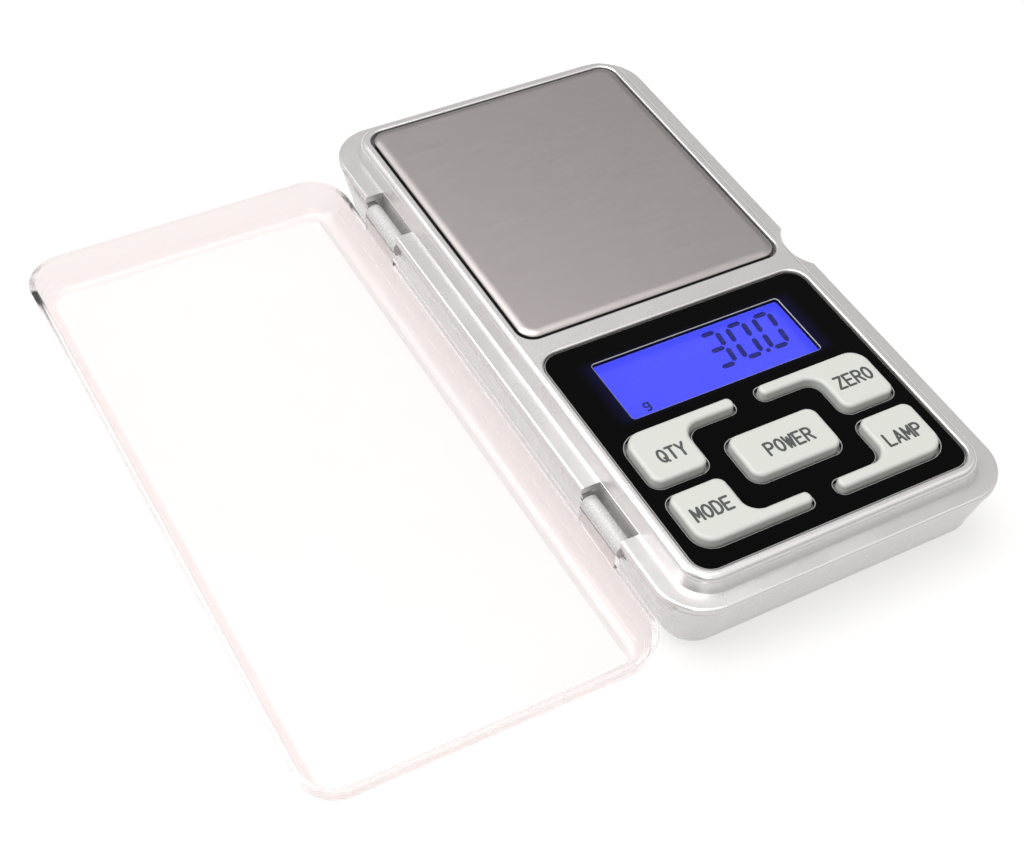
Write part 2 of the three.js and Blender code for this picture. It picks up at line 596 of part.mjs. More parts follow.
// A pan-head screw with its head at the bottom, its shank going up, and a cross in the head.
function screw(headZ, tipZ, headRadius, shankRadius, headHeight) {
  const built = join([
    post(0, 0, headZ, headZ + headHeight, headRadius * 0.85, headRadius, 16),
    post(0, 0, headZ + headHeight / 2, tipZ, shankRadius, shankRadius, 12),
  ]);
  const reach = headRadius * 0.55;
  const half = 0.25;
  const deepest = headZ + headHeight * 0.45;
  return geometryOf(cut(built, [
    block(-reach, reach, -half, half, headZ - PAST, deepest),
    block(-half, half, -reach, reach, headZ - PAST, deepest),
  ]));
}

function addWeighing() {
  piece("weighing_tray", weighingTray(), STEEL);
  piece("tray_carrier", trayCarrier(), BLACK_PLASTIC);
  piece("load_cell", loadCell(), ALUMINIUM);
  const { y0, y1, z0, z1 } = LOAD_CELL;
  const gauge = { x: GAUGE.x, y0: (y0 + y1) / 2 - GAUGE.reach, y1: (y0 + y1) / 2 + GAUGE.reach };
  const above = z1 + GAUGE.lift;
  const below = z0 - GAUGE.lift;
  piece("strain_gauge_top", slab(gauge, above, above + GAUGE.thick), FOIL);
  piece("strain_gauge_bottom", slab(gauge, below - GAUGE.thick, below), FOIL);
  const fixed = FIXED_SCREW;
  FIXED_SCREWS_Y.forEach((y, i) => {
    const shape = screw(fixed.head, fixed.tip, fixed.headRadius, fixed.shank, fixed.headHeight);
    piece(`load_cell_screw_${i + 1}`, shape, PLATED).position.y = y;
  });
  const free = CARRIER_SCREW;
  FREE_SCREWS_Y.forEach((y, i) => {
    const shape = screw(0, free.length, free.head, free.shank, free.headHeight);
    const mesh = piece(`carrier_screw_${i + 1}`, shape, PLATED);
    mesh.rotation.x = Math.PI;
    mesh.position.set(0, y, CARRIER.top - free.sunk);
  });
  const { under, radius, sides } = STOP_SCREW;
  const stopTop = z0 - FINE_GAP - TRAY_DROP;
  piece("overload_stop_screw", post(0, STOP_SCREW_Y, under, stopTop, radius, radius, sides), PLATED);
}

// ---- battery parts ------------------------------------------------------------------------

// A cell along X, drawn with its positive end at +X.
function cell() {
  const half = CELL_LENGTH / 2;
  return geometryOf(join([
    rodX(-half, half - CELL_TIP.length, 0, 0, CELL_RADIUS, 32),
    rodX(half - 2 * CELL_TIP.length, half, 0, 0, CELL_TIP.radius, 16),
  ]));
}

// Battery springs widen from the cell to the contact behind it.
function spring() {
  const points = [];
  for (let i = 0; i <= SPRING.points; i++) {
    const t = i / SPRING.points;
    const angle = t * SPRING.turns * 2 * Math.PI;
    const radius = SPRING.radius + SPRING.flare * t;
    points.push([-t * SPRING.length, radius * Math.cos(angle), radius * Math.sin(angle)]);
  }
  return wire(points, SPRING.wire, 24);
}

function contact(side, y0, y1, dimpleY) {
  const face = side * CONTACT_X;
  const back = side * (CONTACT_X + CONTACT.thick);
  const built = [block(Math.min(face, back), Math.max(face, back), y0, y1, CONTACT.z0, CONTACT.z1)];
  if (dimpleY !== undefined) {
    const tip = side * (CONTACT_X - CONTACT.dimple);
    const root = side * (CONTACT_X + CONTACT.thick / 2);
    const ends = [Math.min(tip, root), Math.max(tip, root)];
    built.push(rodX(...ends, dimpleY, CELL_Z, CONTACT.dimpleRadius, 16));
  }
  return join(built);
}

function batteryDoor() {
  const keep = block(-DOOR.x, DOOR.x, -LENGTH / 2 - PAST, DOOR.y1, 0, BASE_Z + DOOR.thick);
  const { x, halfWidth, depth } = DOOR_GROOVES;
  const grooves = DOOR_GROOVES.y.map((y) => {
    return block(-x, x, y - halfWidth, y + halfWidth, 0, BASE_Z + depth);
  });
  return cut(solid(tub(0, BASE_Z, SPLIT_Z)).intersect(solid(keep)), grooves);
}

function addBatteryParts() {
  const [nearKeys, nearEdge] = CELLS_Y;
  const { reach } = CONTACT;
  piece("battery_door", batteryDoor(), SILVER);
  piece("battery_cell_1", cell(), CELL_JACKET).position.set(CELL_SHIFT, nearKeys, CELL_Z);
  const turned = piece("battery_cell_2", cell(), CELL_JACKET);
  turned.position.set(-CELL_SHIFT, nearEdge, CELL_Z);
  turned.rotation.z = Math.PI;
  const springX = CELL_LENGTH / 2 - CELL_SHIFT + SPRING.stand;
  piece("battery_spring_1", spring(), PLATED).position.set(-springX, nearKeys, CELL_Z);
  const turnedSpring = piece("battery_spring_2", spring(), PLATED);
  turnedSpring.position.set(springX, nearEdge, CELL_Z);
  turnedSpring.rotation.z = Math.PI;
  piece("contact_negative", contact(-1, nearKeys - reach, nearKeys + reach), PLATED);
  piece("contact_positive", contact(-1, nearEdge - reach, nearEdge + reach, nearEdge), PLATED);
  piece("contact_link", contact(1, nearEdge - reach, nearKeys + reach, nearKeys), PLATED);
}

// ---- wires --------------------------------------------------------------------------------

function addWires() {
  const looks = { red: RED, black: BLACK, green: GREEN, white: WHITE };
  Object.entries(looks).forEach(([name, look], i) => {
    const x = (i - 1.5) * WIRE.apart;
    const bow = (i - 1.5) * WIRE.bow;
    const route = [[x, 18, 11.2], [x + bow, 10, 11.3], [x + bow, 1, 11.3], [x, -7.2, 11]];
    piece(`load_cell_wire_${name}`, wire(route, WIRE.radius), look);
  });
  // Both battery wires run over the box's end wall and then round a screw post.
  const run = -25.55;
  const aside = -26.8;
  const low = 10.4;
  const high = 11.35;
  const black = [
    [run, CELLS_Y[0], low],
    [run, -30.6, low],
    [aside + 0.6, -28.4, low],
    [aside, -26.2, low],
    [aside + 1.1, -23.2, low],
    [-19.4, -20.5, 10.8],
  ];
  const red = [
    [run, CELLS_Y[1], high],
    [run, -38, high],
    [run, -30.6, high],
    [aside + 0.6, -28.4, high],
    [aside, -26.2, high],
    [aside + 1.1, -22.4, high],
    [-19.4, -16, 10.9],
  ];
  piece("battery_wire_black", wire(black, WIRE.radius), BLACK);
  piece("battery_wire_red", wire(red, WIRE.radius), RED);
}

// ---- fasteners, feet ----------------------------------------------------------------------

function footOutline(x, y, grow) {
  const halfX = FOOT.x + grow;
  const halfY = FOOT.y + grow;
  return roundedRect(x - halfX, x + halfX, y - halfY, y + halfY, halfX - 0.05);
}

function addFixings() {
  const { head, tip, headRadius, shank, headHeight } = HOUSING_SCREW;
  HOUSING_SCREWS.forEach(([x, y], i) => {
    const shape = screw(head, tip, headRadius, shank, headHeight);
    piece(`housing_screw_${i + 1}`, shape, PLATED).position.set(x, y, 0);
  });
  FEET.forEach(([x, y], i) => {
    const top = BASE_Z + FOOT.depth - FOOT.clear;
    piece(`foot_${i + 1}`, plate(footOutline(x, y, 0), 0, top), RUBBER);
  });
}

// ---- lid ----------------------------------------------------------------------------------

function lid() {
  const { x0, x1, y, r, rim, wall, round, lean } = LID;
  const outline = [x0, x1, -y, y, r];
  const outer = roundLevels(lean, CLOSED_Z - round, CLOSED_Z, round);
  const inner = roundLevels(lean + wall, CLOSED_Z - round, CLOSED_Z - wall, round - wall);
  const shell = cut(solid(stack(...outline, [{ z: rim, inset: 0 }, ...outer])), [
    stack(...outline, [{ z: rim - FINE_GAP, inset: wall }, ...inner]),
  ]);
  const lugs = [-1, 1].flatMap((side) => [
    rodY(...lugSpan(side, 0), HINGE_X, HINGE_Z, LUG_RADIUS, 24),
    block(x0, x0 + LUG_WEB.thick, ...lugSpan(side, 0), HINGE_Z, rim + LUG_WEB.top),
  ]);
  const bores = [-1, 1].map((side) => rodY(...lugSpan(side, PAST), HINGE_X, HINGE_Z, PIN_BORE, 16));
  return cut(join(lugs, shell), bores);
}

function addLid() {
  const hinge = new THREE.Group();
  hinge.position.set(HINGE_X, 0, HINGE_Z);
  hinge.rotation.y = -Math.PI; // open, from its closed drawing
  group.add(hinge);
  const cover = geometryOf(lid()).translate(-HINGE_X, 0, -HINGE_Z);
  piece("lid", cover, CLEAR, hinge);
  for (const [name, side] of [["hinge_pin_near", -1], ["hinge_pin_far", 1]]) {
    piece(name, rodY(...lugSpan(side, PIN_PAST), HINGE_X, HINGE_Z, PIN_RADIUS, 12), PLATED);
  }
}

// ---- assembly -----------------------------------------------------------------------------

piece("top_housing", topHousing(), SILVER);
piece("bottom_housing", bottomHousing(), SILVER);
piece("front_panel", frontPanel(), BLACK_GLOSS);
addKeys();
addDisplay();
addBoards();
addWeighing();
addBatteryParts();
addWires();
addFixings();
addLid();

export default group;
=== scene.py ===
"""The looks of a digital pocket gram scale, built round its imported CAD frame.

Shapes are worked out in millimetres in the row frame (X across, keys at -Y, tray at +Y, table at z = 0)
and scaled to metres when a mesh is made. Boxes, the hinge axis and body names come from the frame.
"""

import json
import math

import bmesh
import bpy
from mathutils import Matrix, Vector


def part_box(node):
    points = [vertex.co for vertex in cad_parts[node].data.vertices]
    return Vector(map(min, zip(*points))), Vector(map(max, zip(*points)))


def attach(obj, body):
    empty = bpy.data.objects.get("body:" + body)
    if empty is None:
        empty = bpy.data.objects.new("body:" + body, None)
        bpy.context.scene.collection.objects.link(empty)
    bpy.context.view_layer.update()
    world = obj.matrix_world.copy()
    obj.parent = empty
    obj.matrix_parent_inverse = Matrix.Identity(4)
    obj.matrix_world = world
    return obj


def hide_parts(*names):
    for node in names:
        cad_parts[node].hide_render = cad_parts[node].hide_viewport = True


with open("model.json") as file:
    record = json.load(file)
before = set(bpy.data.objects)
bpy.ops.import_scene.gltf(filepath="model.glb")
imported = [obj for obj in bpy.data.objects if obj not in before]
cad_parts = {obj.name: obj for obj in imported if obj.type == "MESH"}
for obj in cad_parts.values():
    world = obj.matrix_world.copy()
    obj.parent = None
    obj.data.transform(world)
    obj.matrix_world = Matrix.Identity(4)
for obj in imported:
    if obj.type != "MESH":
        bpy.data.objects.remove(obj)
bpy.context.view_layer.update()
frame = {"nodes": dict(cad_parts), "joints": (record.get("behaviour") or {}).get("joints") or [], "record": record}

MM = 0.001
QUARTER = math.pi / 2
RECORD = frame["record"]
BODY_OF = {n: b for b, members in RECORD["behaviour"]["bodies"].items() for n in members}
SLOT_OF = {part["node"]: part["material_slot"] for part in RECORD["subparts"]}
JOINTS = {joint["name"]: joint for joint in frame["joints"]}


def box_mm(node):
    """A CAD node's x0, x1, y0, y1, z0, z1 in millimetres."""
    low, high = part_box(node)
    return [value / MM for pair in zip(low, high) for value in pair]


# ---- dimensions, in millimetres --------------------------------------------------------------

CORNER_STEPS = 20  # steps in a quarter of a plan corner
EDGE_STEPS = 8  # steps in the round of an edge
KEY_STEPS = 10
ROUND_STEPS = 12  # steps in the larger rounds
PAST = 1  # how far a cutter runs past what it cuts
EASE = 0.15  # bevel on the parting edges and the feet
SMOOTH_BELOW = math.radians(32)  # edges that bend less than this are shaded smooth

BODY_X0, BODY_X1, BODY_Y0, BODY_Y1, _, RIM_Z = box_mm("top_housing")
BODY_CORNER = 8
PARTING_Z = 12  # underside of the top housing's outer wall
LEDGE_Z = 13.3
LEDGE_ROUND = 0.45
RIM = {"x": 27.6, "y": 57.4, "corner": 5.6, "lean": 0.5, "round": 1.05, "round_height": 1.3}
RIM_ROOT = 0.5  # how far the rim's solid reaches into the ledge
MOUTH_ROUND = 0.3  # round along the edge of the well and the recess
DECK = (14.3, 15.05)  # underside and top of the deck that carries the front panel
# Rectangles are x0, x1, y0, y1 and the corner radius.
WELL = (-25.2, 25.2, -3, 55, 3)
PANEL_RECESS = (-25.3, 25.3, -55.3, -6.7, 3.5)
DISPLAY_OPENING = (-18.6, 18.6, -25.3, -10.9, 1)
CARRIER_OPENING = (-7.4, 7.4, 37, 51, 1.5)
UNDER_HOLLOW = (-25.9, 25.9, -55.7, -4.9, 4)
LIP = {"outer": 2.6, "inner": 3.6, "low": 10.6, "root": 0.2}
LIP_GAPS = [(BODY_X0, -24, 29, 46), (BODY_X0, -24, -46, -29), (24, BODY_X1, -8, 8)]  # at the lugs and notch
POST = {"radius": 2.3, "low": 9, "under_ledge": 0.6, "in_deck": 0.3, "bore": 1.2, "bore_low": 8}
HOUSING_SCREWS = [(-19.5, 50.5), (19.5, 50.5), (-23.8, -26.2), (23.8, -26.2)]

BOTTOM_TOP = 11.7  # top of the bottom housing's wall
BOTTOM_Z = box_mm("bottom_housing")[4]
SIDE_INSET = (0.3, 2.45)  # how far the side wall leans in, at its top and above its bottom round
BOTTOM_ROUND = 3
WALL = 1.6
FLOOR = 1.5
CORE_SKIN = 0.9  # the ribs and bosses come from the CAD solid, inside this much of the new shell
DOOR_GAP = 0.3
CELLS_MARGIN = 1.6  # from the positive contact to the end of the battery opening
# Screw holes from below: (top, radius) of the head's recess and of the shank's hole.
HOUSING_HOLE = [(3.4, 2.3), (9.7, 1.3)]
LOAD_CELL_HOLE = [(2.2, 2.8), (6, 1.8)]
STOP_HOLE = (1.6, 4, 1.5)  # low, high and radius
GROOVES = {"y": (-37, -35.5, -34), "x": 7, "radius": 0.45, "below": 0.15}  # the battery door's grip
FOOT = {"clear": 0.1, "recess": 0.8, "trim": 0.03, "steps": 10}

HINGE_X, _, HINGE_Z = [value / MM for value in JOINTS["lid_hinge"]["pos_m"]]
LUG = {"y0": 31.8, "y1": 42.4, "radius": 1.5, "bore": 0.8, "clear": 0.4}
PIN_EASE = 0.12
POCKET = {"below_axis": 1.9, "rim_gap": 0.1, "bore_reach": 1.4}
LID_OPEN = box_mm("lid")
LID = {"corner": 7, "wall": 1.1, "round": 3, "lean": 0.9, "top": 20, "ledge_gap": 0.3}
LID_LINK = {"x0": -28.9, "x1": -28.0, "above_rim": 0.6}  # joins each lug to the lid's wall
NOTCH = {"radius": 7.2, "depth": 1.9, "z": 7.5, "ease": 0.35}

KEY_NAMES = ["key_power", "key_count", "key_tare", "key_units", "key_light"]
_, _, KEY_Y0, KEY_Y1, KEY_UNDER, KEY_TOP = box_mm("key_power")
KEY_FLANGE = {"grow": 0.7, "thick": 0.35}
KEYPAD_Y = (KEY_Y0 + KEY_Y1) / 2
KEY_ROUND = 0.65
KEY_CLEAR = 0.4
KEY_DRAFT = 0.06
POWER_KEY = {"x": 8.2, "y": 4.5, "corner": 1.9}
CORNER_KEY = {
    "outer_x": 22.5, "inner_x": 12.6, "arm_end_x": 2.5,
    "outer_y": 11.8, "inner_y": 1.3, "arm_y": 9.5,
    "outer_round": 3.2, "round": 1.7, "hollow": 2.8, "arm_round": 1,
}
PANEL_GAP = 0.2  # between the panel and its recess
PANEL_EDGE = 0.22  # bevel round the panel
PANEL_CUT_EDGE = 0.16  # and round its openings
# Bevel faces whose normals lean this way get the painted highlight on the panel's edges.
SLOPING = (0.15, 0.97)  # the upward part of a bevel face's normal
WINDOW = (-17.9, 17.9, -24.6, -11.6, 0.6)
TRAY = {"corner": 2.8, "roll": 1.5, "steps": 16}


# ---- meshes ----------------------------------------------------------------------------------


def arc(x, y, radius, start, end, steps):
    """Points on an arc, its start and end in quarter turns."""
    turns = [start + (end - start) * i / steps for i in range(steps + 1)]
    return [(x + radius * math.cos(t * QUARTER), y + radius * math.sin(t * QUARTER)) for t in turns]


def rounded_rect(x0, x1, y0, y1, radius, inset=0, steps=CORNER_STEPS):
    """A rectangle with round corners, drawn in by inset."""
    r = max(radius - inset, 0.05)
    low_x, high_x, low_y, high_y = x0 + inset + r, x1 - inset - r, y0 + inset + r, y1 - inset - r
    return (
        arc(high_x, high_y, r, 0, 1, steps)
        + arc(low_x, high_y, r, 1, 2, steps)
        + arc(low_x, low_y, r, 2, 3, steps)
        + arc(high_x, low_y, r, 3, 4, steps)
    )


def corner_key_outline(sign_x, sign_y, grow):
    """An L-shaped key: a block with a thin arm that runs round the middle key."""
    k = CORNER_KEY
    big, small, tip = k["outer_round"] + grow, k["round"] + grow, k["arm_round"] + grow
    hollow = k["hollow"] - grow
    outer_x, outer_y = k["outer_x"] + grow, k["outer_y"] + grow
    inner_x, inner_y = k["inner_x"] - grow, k["inner_y"] - grow
    arm_x, arm_y = k["arm_end_x"] - grow, k["arm_y"] - grow
    points = (
        arc(outer_x - big, outer_y - big, big, 0, 1, KEY_STEPS)
        + arc(arm_x + tip, outer_y - tip, tip, 1, 2, KEY_STEPS)
        + arc(arm_x + tip, arm_y + tip, tip, 2, 3, KEY_STEPS)
        + arc(inner_x - hollow, arm_y - hollow, hollow, 1, 0, KEY_STEPS)
        + arc(inner_x + small, inner_y + small, small, 2, 3, KEY_STEPS)
        + arc(outer_x - small, inner_y + small, small, 3, 4, KEY_STEPS)
    )
    placed = [(sign_x * x, KEYPAD_Y + sign_y * y) for x, y in points]
    return placed if sign_x * sign_y > 0 else placed[::-1]


def key_outline(name, grow):
    if name == "key_power":
        x, y = POWER_KEY["x"] + grow, POWER_KEY["y"] + grow
        return rounded_rect(-x, x, KEYPAD_Y - y, KEYPAD_Y + y, POWER_KEY["corner"] + grow, 0, KEY_STEPS)
    signs = {"key_count": (-1, 1), "key_tare": (1, 1), "key_units": (-1, -1), "key_light": (1, -1)}
    return corner_key_outline(*signs[name], grow)


def ring(outline, z):
    return [(x, y, z) for x, y in outline]


def mesh_of(name, vertices, faces):
    mesh = bpy.data.meshes.new(name)
    mesh.from_pydata([Vector(v) * MM for v in vertices], [], faces)
    mesh.validate()
    return mesh


def loft(name, rings):
    """A closed solid through rings of points, each with the same number of points."""
    count = len(rings[0])
    vertices = [point for points in rings for point in points]
    faces = [list(range(count))[::-1]]
    for level in range(len(rings) - 1):
        low = level * count
        for i in range(count):
            j = (i + 1) % count
            faces.append([low + i, low + j, low + count + j, low + count + i])
    last = (len(rings) - 1) * count
    faces.append(list(range(last, last + count)))
    return mesh_of(name, vertices, faces)


def stack(name, rectangle, levels):
    """A loft of one rounded rectangle, drawn in by each level's (z, inset)."""
    return loft(name, [ring(rounded_rect(*rectangle, inset), z) for z, inset in levels])


def plate(name, outline, z0, z1):
    return loft(name, [ring(outline, z0), ring(outline, z1)])


def box(name, x0, x1, y0, y1, z0, z1):
    return plate(name, [(x0, y0), (x1, y0), (x1, y1), (x0, y1)], z0, z1)


def lathe(name, profile, centre, axis="Z", sides=48):
    """A solid turned from (distance along the axis, radius) pairs."""
    rings = []
    for along, radius in profile:
        points = []
        for i in range(sides):
            angle = 2 * math.pi * i / sides
            a, b = radius * math.cos(angle), radius * math.sin(angle)
            offset = {"X": (along, a, b), "Y": (b, along, a), "Z": (a, b, along)}[axis]
            points.append([c + o for c, o in zip(centre, offset)])
        rings.append(points)
    return loft(name, rings)


def cylinder(name, x, y, z0, z1, radius, axis="Z", sides=48):
    """A plain cylinder along the axis from z0 to z1, at x, y in the other two directions."""
    centre = {"Z": (x, y, 0), "Y": (x, 0, y), "X": (0, x, y)}[axis]
    return lathe(name, [(z0, radius), (z1, radius)], centre, axis, sides)


def edge_round(z_wall, z_face, inset, radius, steps=EDGE_STEPS):
    """Levels that carry a wall into a face through an elliptical quarter round."""
    levels = []
    for i in range(steps + 1):
        angle = QUARTER * i / steps
        z = z_wall + (z_face - z_wall) * math.sin(angle)
        levels.append((z, inset + radius * (1 - math.cos(angle))))
    return levels


def boolean(mesh, tools, operation):
    """The mesh joined with, cut by or kept inside the tool meshes."""
    base = bpy.data.objects.new("base", mesh)
    helpers = [bpy.data.objects.new("tool", tool) for tool in tools]
    for helper in [base, *helpers]:
        bpy.context.scene.collection.objects.link(helper)
    for helper in helpers:
        modifier = base.modifiers.new("boolean", "BOOLEAN")
        modifier.operation = operation
        modifier.solver = "MANIFOLD"
        modifier.object = helper
    bpy.context.view_layer.update()
    evaluated = base.evaluated_get(bpy.context.evaluated_depsgraph_get())
    result = bpy.data.meshes.new_from_object(evaluated)
    for helper in [base, *helpers]:
        bpy.data.objects.remove(helper)
    return result


def welded(mesh):
    """A copy of the mesh with its doubled corners merged, so that a boolean takes it as a solid."""
    work = bmesh.new()
    work.from_mesh(mesh)
    bmesh.ops.remove_doubles(work, verts=work.verts, dist=1e-7)
    copy = bpy.data.meshes.new(mesh.name)
    work.to_mesh(copy)
    work.free()
    return copy


def cut(mesh, tools):
    return boolean(mesh, tools, "DIFFERENCE")


def join(mesh, tools):
    return boolean(mesh, tools, "UNION")


# ---- materials -------------------------------------------------------------------------------


class Shader:
    """A material's node tree with its Principled shader, and short calls for the nodes it needs."""

    def __init__(self, name, colour, roughness, metallic=0.0, **sockets):
        self.material = bpy.data.materials.new(name)
        self.material.use_nodes = True
        self.tree = self.material.node_tree
        self.principled = self.tree.nodes["Principled BSDF"]
        self.place = self.add("ShaderNodeTexCoord").outputs["Object"]
        self.set("Base Color", (*colour, 1))
        self.set("Roughness", roughness)
        self.set("Metallic", metallic)
        for socket, value in sockets.items():
            self.set(socket.replace("_", " "), value)

    def set(self, socket, value):
        self.principled.inputs[socket].default_value = value

    def add(self, kind, **inputs):
        node = self.tree.nodes.new(kind)
        for name, value in inputs.items():
            self.feed(node.inputs[name.replace("_", " ")], value)
        return node

    def feed(self, socket, value):
        if isinstance(value, bpy.types.NodeSocket):
            self.tree.links.new(value, socket)
        else:
            socket.default_value = value

    def noise(self, size_mm, stretch=(1, 1, 1), detail=3.0):
        """Noise with features of about size_mm, stretched along each axis."""
        scale = Vector([1 / (size_mm * MM * s) for s in stretch])
        mapping = self.add("ShaderNodeMapping", Vector=self.place, Scale=scale)
        texture = self.add("ShaderNodeTexNoise", Vector=mapping.outputs[0], Scale=1.0, Detail=detail)
        return texture.outputs["Fac"]

    def math(self, operation, a, b=0.0):
        node = self.tree.nodes.new("ShaderNodeMath")
        node.operation = operation
        self.feed(node.inputs[0], a)
        self.feed(node.inputs[1], b)
        return node.outputs[0]

    def mix(self, first, second, share):
        """Two values mixed, with this share of the first."""
        return self.math("ADD", self.math("MULTIPLY", first, share), self.math("MULTIPLY", second, 1 - share))

    def ramp(self, value, low, high, to_low, to_high):
        node = self.tree.nodes.new("ShaderNodeMapRange")
        node.interpolation_type = "SMOOTHSTEP"
        for index, item in enumerate([value, low, high, to_low, to_high]):
            self.feed(node.inputs[index], item)
        return node.outputs[0]

    def shade(self, value, dark, light):
        """The base colour runs from dark to light with the value."""
        node = self.tree.nodes.new("ShaderNodeMix")
        node.data_type = "RGBA"
        self.feed(node.inputs["Factor"], value)
        first_colour, second_colour = node.inputs[6], node.inputs[7]
        first_colour.default_value = (*dark, 1)
        second_colour.default_value = (*light, 1)
        self.feed(self.principled.inputs["Base Color"], node.outputs[2])

    def vary_roughness(self, value, low, high):
        """Roughness that runs from low to high with a noise."""
        self.feed(self.principled.inputs["Roughness"], self.ramp(value, 0.3, 0.7, low, high))

    def bump(self, value, height_mm, strength=0.5):
        node = self.add("ShaderNodeBump", Strength=strength, Distance=height_mm * MM, Height=value)
        self.feed(self.principled.inputs["Normal"], node.outputs[0])


def scaled(colour, amount):
    return tuple(min(c * amount, 1.0) for c in colour)


def moulded(name, colour, roughness, grain_mm=0.35, spread=0.05, bump=0.012, **sockets):
    """A moulded or painted surface: slight mottling, uneven gloss and a fine grain."""
    shader = Shader(name, colour, roughness, **sockets)
    mottle = shader.noise(grain_mm * 12)
    grain = shader.noise(grain_mm)
    shader.shade(mottle, scaled(colour, 1 - spread), scaled(colour, 1 + spread))
    shader.vary_roughness(grain, roughness - 0.04, roughness + 0.04)
    shader.bump(grain, bump)
    return shader.material


def silver_paint():
    colour = (0.56, 0.545, 0.54)
    shader = Shader("silver_paint", colour, 0.27, 0.75, Coat_Weight=0.15, Coat_Roughness=0.12)
    flake = shader.noise(0.09, detail=1.0)
    cloud = shader.noise(9)
    shader.shade(shader.mix(flake, cloud, 0.6), scaled(colour, 0.985), scaled(colour, 1.015))
    shader.vary_roughness(cloud, 0.25, 0.29)
    shader.bump(flake, 0.0005, 0.05)
    return shader.material


def brushed_steel():
    colour = (0.375, 0.345, 0.336)
    shader = Shader("brushed_steel", colour, 0.36, 1.0)
    streaks = shader.noise(0.08, (60, 1, 1), 4.0)
    grain = shader.noise(0.14)
    blend = shader.mix(streaks, grain, 0.5)
    shader.shade(blend, scaled(colour, 0.96), scaled(colour, 1.04))
    shader.vary_roughness(blend, 0.32, 0.42)
    shader.bump(streaks, 0.0015, 0.25)
    return shader.material


def black_panel():
    """Gloss black film, with a dark blue glow where the display's light leaks sideways."""
    shader = Shader("black_panel", (0.0015, 0.0015, 0.0015), 0.07, Specular_IOR_Level=0.03)
    axes = shader.add("ShaderNodeSeparateXYZ", Vector=shader.place)
    _, x1, y0, y1, _ = [value * MM for value in WINDOW]
    spread = 3.2 * MM
    beyond_x = shader.math("SUBTRACT", shader.math("ABSOLUTE", axes.outputs["X"]), x1)
    middle_y = (y0 + y1) / 2
    off_y = shader.math("ABSOLUTE", shader.math("SUBTRACT", axes.outputs["Y"], middle_y))
    beyond_y = shader.math("SUBTRACT", off_y, (y1 - y0) / 2)
    glow_x = shader.ramp(beyond_x, 0.0, spread, 1.0, 0.0)
    glow_y = shader.ramp(beyond_y, -0.3 * spread, 0.35 * spread, 1.0, 0.0)
    glow = shader.math("MULTIPLY", glow_x, glow_y)
    shader.set("Emission Color", (0.10, 0.11, 0.75, 1))
    shader.feed(shader.principled.inputs["Emission Strength"], shader.math("MULTIPLY", glow, 0.035))
    shader.vary_roughness(shader.noise(6), 0.05, 0.1)
    return shader.material


def clear_plastic():
    shader = Shader("clear_plastic", (0.86, 0.8, 0.79), 0.12, Transmission_Weight=1.0, IOR=1.3)
    shader.vary_roughness(shader.noise(14), 0.1, 0.16)
    shader.bump(shader.noise(22), 0.02, 0.25)
    return shader.material


def clear_window():
    shader = Shader("clear_window", (0.99, 0.99, 1.0), 0.02, Transmission_Weight=1.0, IOR=1.2)
    shader.vary_roughness(shader.noise(5), 0.01, 0.03)
    return shader.material


def lit_display():
    """Blue-lit liquid crystal glass, a little brighter towards the middle."""
    blue = (0.06, 0.073, 1.0)
    shader = Shader("lit_display", scaled(blue, 0.04), 0.25, Specular_IOR_Level=0.2)
    shader.set("Emission Color", (*blue, 1))
    axes = shader.add("ShaderNodeSeparateXYZ", Vector=shader.place)
    x1 = WINDOW[1] * MM
    edge = shader.ramp(shader.math("ABSOLUTE", axes.outputs["X"]), 0.6 * x1, 1.1 * x1, 1.06, 0.96)
    mottle = shader.ramp(shader.noise(3), 0.2, 0.8, 0.99, 1.01)
    shader.feed(shader.principled.inputs["Emission Strength"], shader.math("MULTIPLY", edge, mottle))
    return shader.material


def circuit_board():
    """Green solder mask over faint copper tracks."""
    colour = (0.018, 0.12, 0.045)
    shader = Shader("circuit_board", colour, 0.35)
    mapping = shader.add("ShaderNodeMapping", Vector=shader.place, Scale=Vector([1 / (0.9 * MM)] * 3))
    tracks = shader.add("ShaderNodeTexBrick", Vector=mapping.outputs[0], Scale=1.0, Mortar_Size=0.12)
    shader.shade(tracks.outputs["Fac"], colour, scaled(colour, 1.7))
    shader.bump(tracks.outputs["Fac"], 0.03, 0.4)
    return shader.material


def metal(name, colour, roughness, grain_mm, stretch=(1, 1, 1)):
    shader = Shader(name, colour, roughness, 1.0)
    grain = shader.noise(grain_mm, stretch)
    shader.shade(grain, scaled(colour, 0.92), scaled(colour, 1.08))
    shader.vary_roughness(grain, roughness - 0.05, roughness + 0.06)
    shader.bump(grain, 0.003, 0.4)
    return shader.material


def cell_jacket():
    """Printed foil jacket: dark blue with a plain copper band at each end."""
    shader = Shader("cell_jacket", (0.045, 0.07, 0.13), 0.3, 0.4)
    axes = shader.add("ShaderNodeSeparateXYZ", Vector=shader.place)
    band = shader.math("GREATER_THAN", shader.math("ABSOLUTE", axes.outputs["X"]), 15 * MM)
    shader.shade(band, (0.03, 0.05, 0.11), (0.42, 0.2, 0.08))
    shader.vary_roughness(shader.noise(1.5), 0.25, 0.35)
    return shader.material


